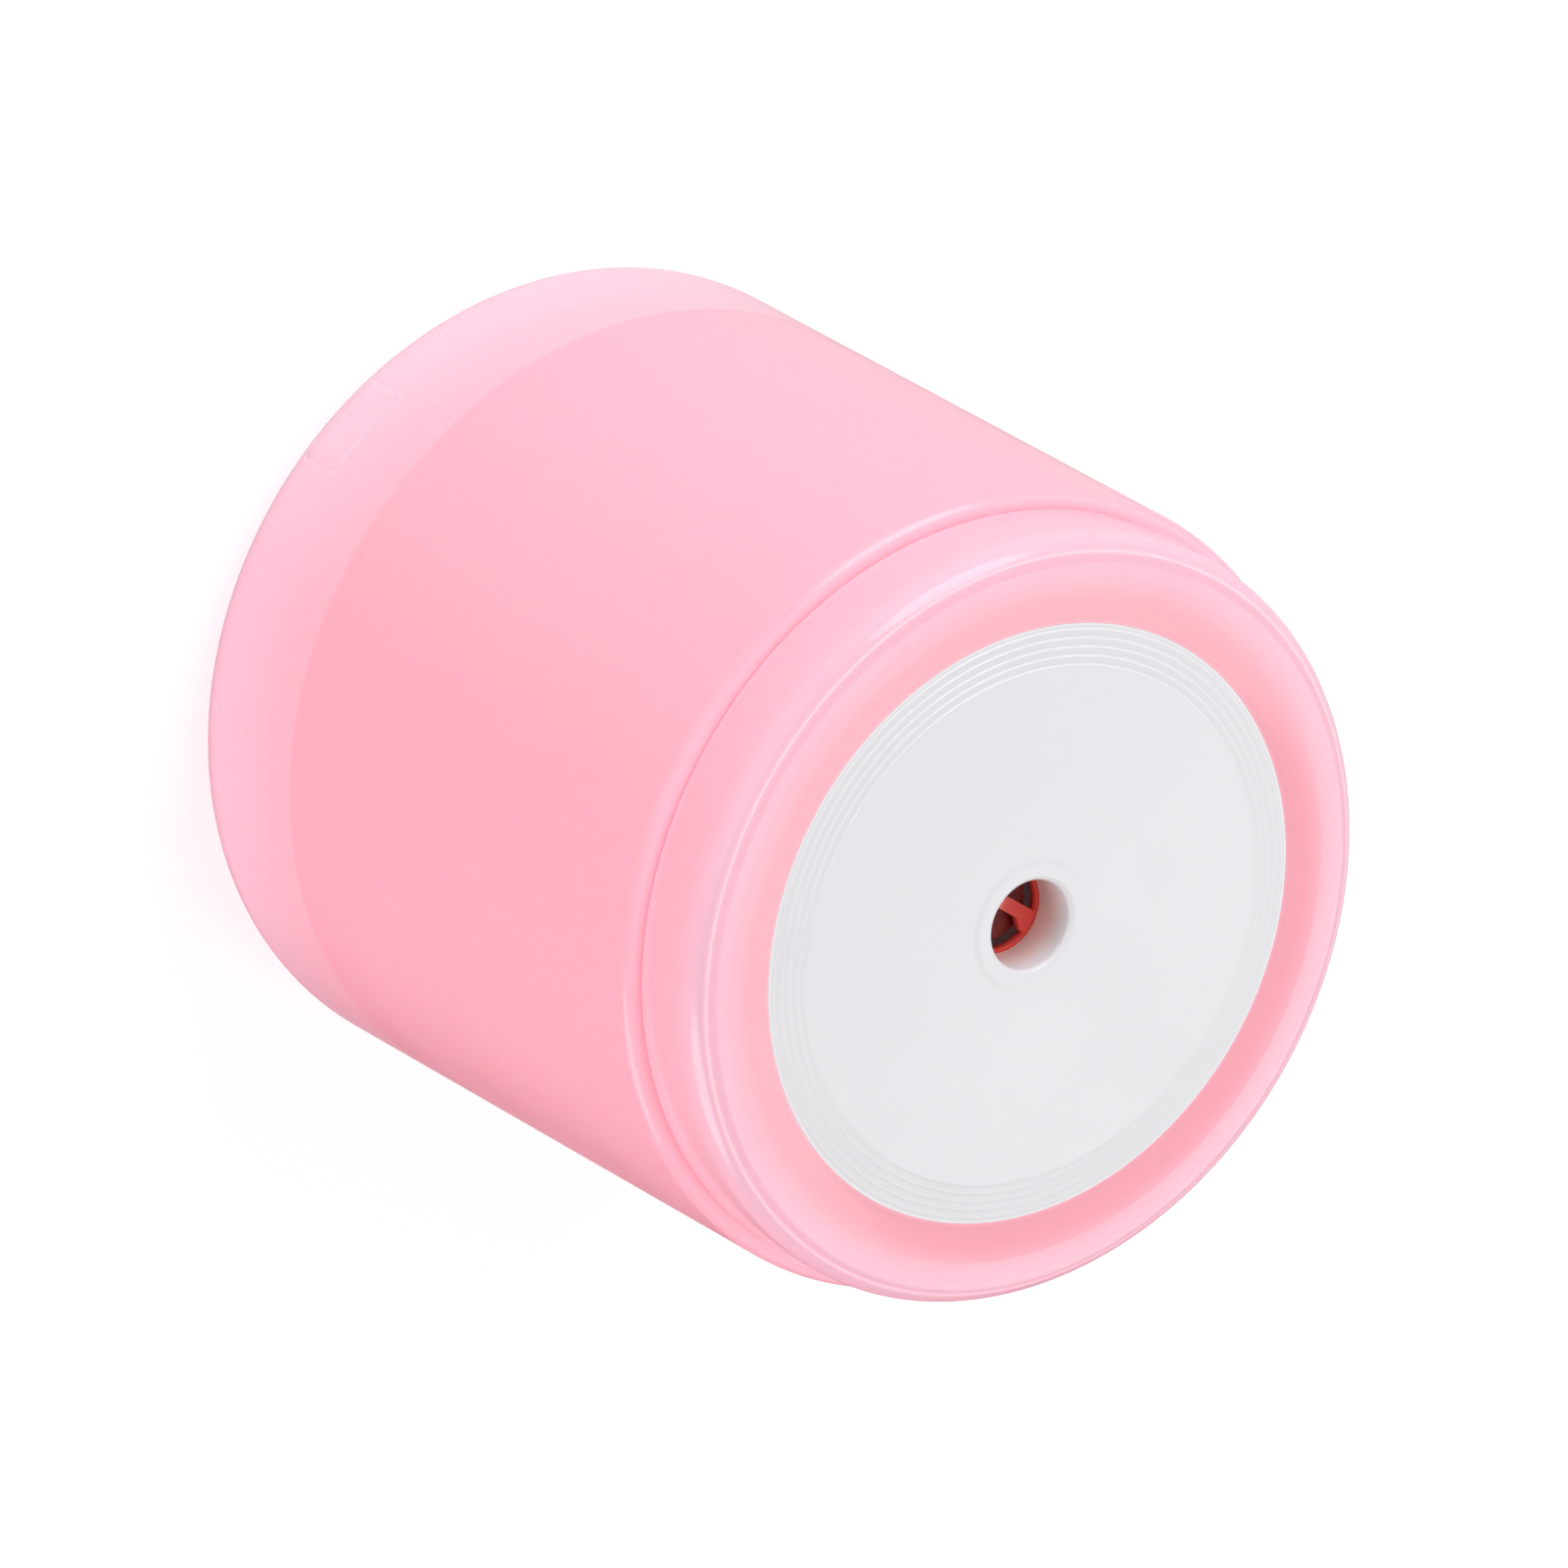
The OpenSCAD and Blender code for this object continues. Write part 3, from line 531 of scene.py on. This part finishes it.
def board(name):
    """Circuit board: green mask with lighter tracks."""
    s = Shader(name, Coat_Weight=0.4, Coat_Roughness=0.15)
    brick = s.add("ShaderNodeTexBrick", Vector=s.coord, Scale=380.0)
    brick.inputs["Color1"].default_value = srgb(18, 88, 48)
    brick.inputs["Color2"].default_value = srgb(14, 74, 40)
    brick.inputs["Mortar"].default_value = srgb(46, 130, 72)
    brick.inputs["Mortar Size"].default_value = 0.03
    s.colour(brick.outputs["Color"])
    s.rough(0.3, 0.45, 200.0)
    s.bump(brick.outputs["Fac"], 0.00003, 0.5)
    return s.material


def battery_wrap(name):
    """Shrink sleeve with one plain contrasting band near the positive end."""
    s = Shader(name, Coat_Weight=0.5, Coat_Roughness=0.12)
    x = s.axis("X")
    end = CELL_END_X * MM
    band = s.ramp(x, end - 0.0092, end - 0.009)
    s.colour(s.mottle(s.mix(band, srgb(44, 98, 158), srgb(214, 214, 218)), 0.08, 120.0))
    s.rough(0.25, 0.38, 150.0)
    s.bump(s.noise(220.0, 3.0), 0.00006, 0.35)
    return s.material


WHITE = srgb(221, 221, 224)


def plate_material(name):
    """White plate: painted highlights on the step edges over painted shade on the lands, painted red bounce
    light in the bore from the guard below it, and a painted glow at its edge.
    """
    s = Shader(
        name, Specular_IOR_Level=0.45, Coat_Weight=0.15, Coat_Roughness=0.2,
        Subsurface_Weight=0.12, Subsurface_Radius=(1.0, 0.9, 0.9), Subsurface_Scale=0.001)
    r, z = s.radius(), s.axis("Z")
    outermost = (PLATE_R - STEPS_INSET) * MM
    into = s.math("DIVIDE", s.math("SUBTRACT", outermost, r), STEP_PITCH * MM)
    off_edge = s.math("PINGPONG", into, 0.5)
    # Painted shade: the lands of the stepped zone are a little darker than the plate's middle
    stepped = s.ramp(r, (PLATE_R - 4.1) * MM, (PLATE_R - 3.7) * MM)
    land = s.mix(stepped, WHITE, srgb(217, 217, 220))
    # Painted highlight: a lighter line on each step edge
    edge = s.math("MULTIPLY", s.ramp(off_edge, 0.06, 0.2, 0.8, 0.0), stepped)
    tone = s.mix(edge, land, srgb(229, 229, 231))
    # Painted light: red light bounced from the guard, on the lower bore wall
    deep = s.ramp(z, (PLATE_TOP_Z - 3.6) * MM, (PLATE_TOP_Z - 0.7) * MM, 1.0, 0.0)
    red_bounce = s.math("MULTIPLY", deep, s.ramp(r, (HOLE_R + 0.1) * MM, (HOLE_R + 0.4) * MM, 1.0, 0.0))
    s.colour(s.mottle(s.mix(red_bounce, tone, srgb(238, 210, 204)), 0.005, 60.0))
    # Painted glow: a light line round the plate's outer edge
    s.glow(WHITE, s.ramp(r, (PLATE_R - 0.35) * MM, (PLATE_R - 0.1) * MM, 0.0, 0.12))
    s.rough(0.32, 0.38, 120.0)
    s.bump(s.noise(900.0, 2.0), 0.00002, 0.3)
    return s.material


def guard_material(name):
    """Glossy red, with painted shade making it much deeper on the baffle below the ring."""
    s = Shader(
        name, Coat_Weight=0.5, Coat_Roughness=0.05,
        Subsurface_Weight=0.3, Subsurface_Radius=(1.0, 0.2, 0.15), Subsurface_Scale=0.001)
    # Painted shade: the baffle below the ring is a much deeper red
    upper = s.ramp(s.axis("Z"), (TUBE_Z - 0.9) * MM, (TUBE_Z - 0.2) * MM)
    s.colour(s.mottle(s.mix(upper, srgb(128, 30, 26), srgb(248, 84, 72)), 0.04, 60.0))
    s.rough(0.12, 0.21, 120.0)
    s.bump(s.noise(900.0, 2.0), 0.00002, 0.4)
    return s.material


materials = {
    "shell_pink": shell_material("shell_pink"),
    "drum_pink": plain_pink("drum_pink", PINK),
    "lid_pink": lid_material("lid_pink"),
    "plate_white": plate_material("plate_white"),
    "guard_red": guard_material("guard_red"),
    "flap_pink": shell_material("flap_pink"),
    "white_plastic": plastic("white_plastic", srgb(228, 228, 228), 0.45),
    "filter_felt": fabric("filter_felt", srgb(240, 238, 228)),
    "dark_rubber": rubber("dark_rubber", srgb(58, 58, 62)),
    "zinc_steel": metal("zinc_steel", srgb(205, 208, 214), 0.25),
    "can_steel": metal("can_steel", srgb(188, 190, 194), 0.32),
    "shaft_steel": metal("shaft_steel", srgb(214, 216, 220), 0.18),
    "core_steel": metal("core_steel", srgb(120, 122, 126), 0.42, (1.0, 1.0, 60.0)),
    "magnet_black": plastic("magnet_black", srgb(52, 52, 56), 0.6),
    "bronze": metal("bronze", srgb(184, 138, 84), 0.4),
    "brass_contact": metal("brass_contact", srgb(220, 186, 110), 0.25),
    "copper_wire": metal("copper_wire", srgb(190, 108, 58), 0.3, (1.0, 1.0, 40.0)),
    "fan_black": plastic("fan_black", srgb(44, 44, 48), 0.42),
    "cell_wrap": battery_wrap("cell_wrap"),
    "board_green": board("board_green"),
    "chip_black": plastic("chip_black", srgb(26, 26, 28), 0.5),
    "led_clear": plastic("led_clear", srgb(222, 240, 250), 0.08, Transmission_Weight=0.7, IOR=1.5),
    "wire_red": plastic("wire_red", srgb(190, 30, 28), 0.38),
    "wire_black": plastic("wire_black", srgb(24, 24, 26), 0.38),
    "wire_orange": plastic("wire_orange", srgb(228, 118, 32), 0.38),
}
slot_of = {row["node"]: row["material_slot"] for row in frame["record"]["subparts"]}
body_of_node = {}
for body_name, members in frame["record"]["behaviour"]["bodies"].items():
    for member in members:
        body_of_node[member] = body_name


def stands_for(obj, node):
    """A finished fine mesh takes over from a CAD node: its body, slot and material."""
    obj.data.materials.clear()
    obj.data.materials.append(materials[slot_of[node]])
    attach(obj, body_of_node[node])
    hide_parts(node)
    return obj


# ---------------------------------------------------------------- outer shell and flap


def shell_outline():
    floor = BASE_Z + FLOOR_T
    inner_r = BODY_R - WALL
    inner_fillet = BASE_FILLET - WALL
    return rounded(
        [(0, BASE_Z, 0)]
        + arc(BODY_R - BASE_FILLET, BASE_Z + BASE_FILLET, BASE_FILLET, -math.pi / 2, 0, 20)
        + [(BODY_R, 30, 0), (BODY_R, 55, 0)]
        + arc(BODY_R - RIM_ROUND, SHOULDER_Z - RIM_ROUND, RIM_ROUND, 0, math.pi / 2, 10)
        + [(inner_r, SHOULDER_Z, 0.3)]
        + arc(inner_r - inner_fillet, floor + inner_fillet, inner_fillet, 0, -math.pi / 2, 12)
        + [(0, floor, 0)]
    )


def turned(angle, bm):
    return moved(bm, Matrix.Rotation(angle, 4, "Z"))


def port_bar(width, height, reach=30.0):
    """A bar through the charging port, from outside the body in to the given radius."""
    bm = slab(width, height, PORT_CORNER, -BODY_R - 2, -reach)
    return turned(PORT_TURN, moved(bm, Matrix.Translation((0, 0, PORT_Z))))


def vent_cutters():
    cutters = []
    for side in (-1, 1):
        for i in range(VENTS_A_SIDE):
            slot = slab(VENT_W, VENT_H, 0.78, -BODY_R - 1, -BODY_R + 5)
            moved(slot, Matrix.Translation((0, 0, BUTTON_Z)))
            cutters.append(turned(math.radians(180 + side * (VENT_FIRST + i * VENT_PITCH)), slot))
    return cutters


def disc(radius, z0, z1, steps=64):
    return lathe([Vector((0, z0)), Vector((radius, z0)), Vector((radius, z1)), Vector((0, z1))], steps)


def places(count, radius, phase):
    """Moves to evenly spaced places on a circle, the first of them at the phase in degrees."""
    for k in range(count):
        a = math.radians(phase + 360 / count * k)
        yield Matrix.Translation((radius * math.cos(a), radius * math.sin(a), 0))


def foot_places():
    return places(FOOT_COUNT, FOOT_AT_R, 45)


def boss_places():
    return places(BOSS_COUNT, BOSS_AT_R, 90)


def make_shell():
    """Outer cup with its port, vents, button hole and foot recesses, but without the bosses inside."""
    shell = as_object(lathe(shell_outline()), "outer_shell_fine")
    window = as_object(port_bar(PORT_W, PORT_H), "window")
    boolean(window, disc(BODY_R - 1.1, BASE_Z, SHOULDER_Z, TURN_STEPS), "DIFFERENCE")
    boolean(window, port_bar(PORT_IN_W, PORT_IN_H), "UNION")
    cutters = vent_cutters()
    hole = moved(disc(BUTTON_R + BUTTON_GAP, 0, 6), Matrix.Rotation(-math.pi / 2, 4, "X"))
    cutters.append(moved(hole, Matrix.Translation((0, BODY_R - 5, BUTTON_Z))))
    for place in foot_places():
        cutters.append(moved(disc(FOOT_R + 0.15, BASE_Z - 0.5, BASE_Z + FOOT_RECESS), place))
    boolean(shell, joined(cutters), "DIFFERENCE")
    combine(shell, window, "DIFFERENCE")
    smooth(shell)
    return stands_for(shell, "outer_shell")


def make_flap():
    """Flap cut from the shell's own wall, with the plug that fills the port."""
    flap = as_object(lathe(shell_outline()), "port_flap_fine")
    boolean(flap, port_bar(PORT_W - 2 * FLAP_GAP, PORT_H - 2 * FLAP_GAP), "INTERSECT")
    boolean(flap, disc(BODY_R - 1, BASE_Z - 1, SHOULDER_Z, TURN_STEPS), "DIFFERENCE")
    plug = slab(6, 2.4, 1, -BODY_R + 0.6, -BODY_R + 2.5)
    moved(plug, Matrix.Translation((0, 0, PORT_Z)))
    boolean(flap, turned(PORT_TURN, plug), "UNION")
    soften(flap, 0.015, 2, 50)
    keep_modifiers(flap)
    smooth(flap, 50)
    return stands_for(flap, "port_flap")


# ---------------------------------------------------------------- lid


def shaded(bm, name):
    obj = as_object(bm, name)
    smooth(obj)
    return obj


def make_collar():
    """Outer lid ring: its side, its part of the rounded edge, and the shelf under the bezel."""
    inner_r = LID_R - LID_WALL
    shelf_r = inner_r - 1.4
    shelf_top = SHELF_Z + SHELF_T
    outline = rounded(
        [(inner_r, LID_Z, 0.25), (LID_R, LID_Z, 0.3)]
        + arc(ROUND_R, ROUND_Z, LID_ROUND, 0, SEAM_ANGLE, 16)
        + [(SEAM_R, shelf_top, 0), (shelf_r, shelf_top, 0.15)]
        + [(shelf_r, SHELF_Z, 0.2), (inner_r, SHELF_Z, 0.2)]
    )
    return stands_for(shaded(lathe(outline), "lid_collar_fine"), "lid_collar")


def make_bezel():
    """Inner lid ring: the rest of the rounded edge, and the flange that the plate lies on."""
    out_r = SEAM_R - HAIRLINE
    start = math.acos((out_r - ROUND_R) / LID_ROUND)
    foot_r = LID_R - LID_WALL - 1.5
    in_r = PLATE_R + HAIRLINE
    outline = rounded(
        [(out_r, SHELF_Z + SHELF_T, 0)]
        + arc(ROUND_R, ROUND_Z, LID_ROUND, start, math.pi / 2, 12)
        + [
            (ROUND_R - 1.9, LID_TOP_Z, 0.8), (in_r, PLATE_RIM_Z, 0.04), (in_r, PLATE_Z, 0),
            (FLANGE_IN_R, PLATE_Z, 0.2), (FLANGE_IN_R, PLATE_Z - FLANGE_T, 0.2),
            (foot_r, PLATE_Z - FLANGE_T, 0.2), (foot_r, SHELF_Z + SHELF_T, 0),
        ]
    )
    bezel = as_object(lathe(outline), "bezel_ring_fine")
    holes = [moved(disc(BOSS_R + 0.3, PLATE_Z - 2, PLATE_Z + 1), place) for place in boss_places()]
    boolean(bezel, joined(holes), "DIFFERENCE")
    smooth(bezel)
    return stands_for(bezel, "bezel_ring")


def make_plate():
    """White plate with five fine steps, the lipped hole and the tube behind it."""
    corners = [(PLATE_R, PLATE_Z, 0.15), (PLATE_R, PLATE_RIM_Z, 0.03)]
    for i in range(STEPS):
        r = PLATE_R - STEPS_INSET - i * STEP_PITCH
        z = PLATE_RIM_Z + i * STEP_H
        corners += [(r + 0.03, z, 0.02), (r - 0.03, z + STEP_H, 0.08)]
    top = PLATE_RIM_Z + STEPS * STEP_H
    tube_r = HOLE_R + TUBE_WALL
    corners += [(HOLE_R + 2.1, top, 0.4), (HOLE_R + 1.5, PLATE_TOP_Z, 0.3)]
    corners += arc(HOLE_R + LIP_ROUND, PLATE_TOP_Z - LIP_ROUND, LIP_ROUND, math.pi / 2, math.pi, 10)
    corners += [(HOLE_R, TUBE_Z, 0.2), (tube_r, TUBE_Z, 0.2), (tube_r, PLATE_Z, 0.4)]
    plate = as_object(lathe(rounded(corners)), "suction_plate_fine")
    bore_r, low, high = 0.95, PLATE_Z - FLANGE_T, PLATE_Z + 0.5
    boss = rounded([(bore_r, low, 0), (BOSS_R, low, 0.2), (BOSS_R, high, 0), (bore_r, high, 0)])
    boolean(plate, joined([moved(lathe(boss, 48), place) for place in boss_places()]), "UNION")
    smooth(plate)
    return stands_for(plate, "suction_plate")


# ---------------------------------------------------------------- button, feet, seal, filter


def make_button():
    """Cap with a soft rim and a ring groove; its face follows the body's curve."""
    face = BODY_R - 0.1
    back = button_low.y
    stem_r, flange_r, groove_out, groove_in, groove = 2.2, 5.4, 2.7, 2.05, 0.18
    outline = rounded([
        (0, back, 0), (stem_r, back, 0.15), (stem_r, back + 0.4, 0), (flange_r, back + 0.4, 0.15),
        (flange_r, back + 1.2, 0.15), (BUTTON_R, back + 1.2, 0.1), (BUTTON_R, face, 0.35),
        (groove_out, face, 0.15), (groove_out - 0.15, face - groove, 0.08),
        (groove_in + 0.15, face - groove, 0.08), (groove_in, face, 0.15), (0, face, 0),
    ])
    bm = lathe(outline, 96)
    moved(bm, Matrix.Rotation(-math.pi / 2, 4, "X"))
    for v in bm.verts:
        if v.co.y > face - 1:
            v.co.y -= face - math.sqrt(face * face - v.co.x ** 2)
    moved(bm, Matrix.Translation((0, 0, BUTTON_Z)))
    return stands_for(shaded(bm, "power_button_fine"), "power_button")


def make_feet():
    """Four rubber feet with two grip grooves each."""
    groove, land = 0.25, 0.1
    corners = [(0, 0, 0)]
    for low_r in (1.3, 2.9):
        corners += [(low_r, 0, land), (low_r + 0.2, groove, land)]
        corners += [(low_r + 0.5, groove, land), (low_r + 0.7, 0, land)]
    corners += [(FOOT_R, 0, 0.35), (FOOT_R, FOOT_TOP_Z, 0.1), (0, FOOT_TOP_Z, 0)]
    feet = [moved(lathe(rounded(corners), 72), place) for place in foot_places()]
    return stands_for(shaded(joined(feet), "foot_pads_fine"), "foot_pads")


def make_seal():
    """Round rubber ring in the neck's groove."""
    radius = (seal_high.z - seal_low.z) / 2
    sides = 24
    last = 2 * math.pi * (sides - 1) / sides
    outline = arc(seal_high.x - radius, (seal_high.z + seal_low.z) / 2, radius, 0, last, sides - 1)
    return stands_for(shaded(lathe([Vector(c[:2]) for c in outline]), "rim_seal_fine"), "rim_seal")


def make_filter():
    """Pleated felt: one folded sheet across the cup, in a flat bonded rim."""
    rim_w = 2.2
    rim_r, sheet_r = pad_high.x, pad_high.x - rim_w
    pitch, crest, valley = 3.2, pad_high.z, pad_low.z + 1.0
    count = int(sheet_r / pitch) + 1
    corners = [(-(count + 0.5) * pitch, pad_low.z, 0)]
    for i in range(-count, count + 1):
        corners += [((i - 0.5) * pitch, valley, 0.5), (i * pitch, crest, 0.45)]
    corners += [((count + 0.5) * pitch, valley, 0), ((count + 0.5) * pitch, pad_low.z, 0)]
    sheet = as_object(bar(rounded(corners, 3), -rim_r, rim_r), "filter_pad_fine")
    boolean(sheet, disc(sheet_r, pad_low.z - 1, crest + 1, 128), "INTERSECT")
    in_r = sheet_r - 0.5
    rim = rounded([(in_r, pad_low.z, 0.2), (rim_r, pad_low.z, 0.2), (rim_r, crest, 0.3), (in_r, crest, 0.3)])
    boolean(sheet, lathe(rim, 128), "UNION")
    smooth(sheet)
    return stands_for(sheet, "filter_pad")


make_shell()
make_flap()
make_collar()
make_bezel()
make_plate()
make_button()
make_feet()
make_seal()
make_filter()

# ---------------------------------------------------------------- CAD nodes that keep their meshes

# Width in millimetres of the rounding on each node's edges
EDGE = {
    "inner_drum": 0.2, "motor_tray": 0.2, "filter_grid": 0.15, "inlet_guard": 0.12,
    "filter_cup": 0.15, "filter_clamp": 0.2, "filter_gasket": 0.15,
    "fan_cover": 0.2, "impeller": 0.15, "fan_deck": 0.2, "motor_can": 0.3, "motor_magnets": 0.2,
    "motor_end_cap": 0.2, "motor_bushes": 0.1, "motor_brushes": 0.08, "motor_terminals": 0.08,
    "rotor_core": 0.1, "rotor_windings": 0.4, "commutator": 0.1, "motor_shaft": 0.15, "battery_cell": 0.4,
    "battery_tray": 0.3, "circuit_board": 0.08, "board_chips": 0.12, "charge_socket": 0.06,
    "switch_plunger": 0.12, "tact_switch": 0.15, "switch_board": 0.08, "status_led": 0.08,
    "lid_screws": 0.2, "deck_screws": 0.2, "board_screws": 0.2, "base_screws": 0.2,
}
for name, node in nodes.items():
    node.data.materials.clear()
    node.data.materials.append(materials[slot_of[name]])
    if node.hide_render:
        continue
    if name in EDGE:
        soften(node, EDGE[name])
    else:
        mod = node.modifiers.new("rounder", "SUBSURF")
        mod.levels = 1
        mod.render_levels = 1

# ---------------------------------------------------------------- floor, light, camera

FLOOR_HALF = 4000
FLOOR_EMISSION = 0.55

floor_bm = bmesh.new()
bmesh.ops.create_grid(floor_bm, x_segments=2, y_segments=2, size=FLOOR_HALF)
floor = as_object(floor_bm, "floor")
floor_shader = Shader("floor_white", Emission_Color=(1.0, 1.0, 1.0, 1.0), Emission_Strength=FLOOR_EMISSION)
floor_shader.colour(floor_shader.mottle(srgb(192, 192, 192), 0.01, 3.0))
floor_shader.rough(0.7, 0.8, 5.0)
floor.data.materials.append(floor_shader.material)
floor.visible_glossy = False

centre = Vector((-0.35, 0, 40.9)) * MM


def area_light(name, direction, distance, size, power, tint=(1, 1, 1)):
    """A round light that faces the object, in metres and watts."""
    light = bpy.data.lights.new(name, "AREA")
    light.shape = "DISK"
    light.size = size
    light.energy = power
    light.color = tint
    obj = bpy.data.objects.new(name, light)
    obj.location = centre + Vector(direction).normalized() * distance
    obj.rotation_euler = (centre - obj.location).to_track_quat("-Z", "Y").to_euler()
    bpy.context.scene.collection.objects.link(obj)


area_light("key_left", (-1.0, -0.4, 0.6), 1.2, 0.9, 8.0, (0.98, 0.98, 1.0))
area_light("fill_right", (1.0, -0.2, 0.2), 1.4, 1.0, 8.0, (1.0, 0.97, 0.98))
area_light("fill_front", (0.1, -1.0, 0.5), 1.4, 1.0, 2.0)
area_light("top_back", (0.1, 1.0, 0.8), 1.4, 0.8, 3.4)

WORLD_STRENGTH = 0.66


def make_world():
    """Soft white surroundings. What gloss sees below the horizon is a deeper card on the +X side."""
    world = bpy.data.worlds.new("studio")
    bpy.context.scene.world = world
    world.use_nodes = True
    tree = world.node_tree

    def node(kind, **settings):
        made = tree.nodes.new(kind)
        for key, value in settings.items():
            setattr(made, key, value)
        return made

    def step(source, low, high):
        made = node("ShaderNodeMapRange", interpolation_type="SMOOTHSTEP")
        made.inputs["From Min"].default_value = low
        made.inputs["From Max"].default_value = high
        tree.links.new(source, made.inputs["Value"])
        return made.outputs["Result"]

    def blend(factor, a, b):
        made = node("ShaderNodeMix", data_type="RGBA")
        tree.links.new(factor, made.inputs[0])
        for socket, value in ((made.inputs[6], a), (made.inputs[7], b)):
            if isinstance(value, bpy.types.NodeSocket):
                tree.links.new(value, socket)
            else:
                socket.default_value = value
        return made.outputs[2]

    split = node("ShaderNodeSeparateXYZ")
    tree.links.new(node("ShaderNodeTexCoord").outputs["Generated"], split.inputs[0])
    across = step(split.outputs["X"], -0.3, 0.35)
    below = blend(across, (1.0, 0.98, 1.0, 1.0), (0.7, 0.16, 0.22, 1.0))
    above = blend(across, (1.0, 1.0, 1.0, 1.0), (0.9, 0.88, 0.88, 1.0))
    sky = blend(step(split.outputs["Z"], -0.1, 0.1), below, above)
    background = tree.nodes["Background"]
    tree.links.new(sky, background.inputs["Color"])
    background.inputs["Strength"].default_value = WORLD_STRENGTH


make_world()
bpy.context.scene.view_settings.view_transform = "Standard"

ELEVATION = math.radians(49.1)
VIEW_DISTANCE = 2.8
FRAME_WIDTH = 0.1403
ROLL_ALONG, ROLL_ACROSS = 0.8746, 0.4848

toward = Vector((0, -math.cos(ELEVATION), math.sin(ELEVATION)))
up_on_screen = Vector((0, 0, 1)) - toward * toward.z
up_on_screen.normalize()
side = toward.cross(up_on_screen)
right = ROLL_ALONG * up_on_screen + ROLL_ACROSS * side
up = -ROLL_ACROSS * up_on_screen + ROLL_ALONG * side
camera_data = bpy.data.cameras.new("camera")
camera_data.sensor_width = 36.0
camera_data.lens = 36.0 * VIEW_DISTANCE / FRAME_WIDTH
camera_data.clip_end = 50.0
camera = bpy.data.objects.new("camera", camera_data)
turn = Matrix((right, up, toward)).transposed().to_4x4()
camera.matrix_world = Matrix.Translation(centre + toward * VIEW_DISTANCE) @ turn
bpy.context.scene.collection.objects.link(camera)
bpy.context.scene.camera = camera
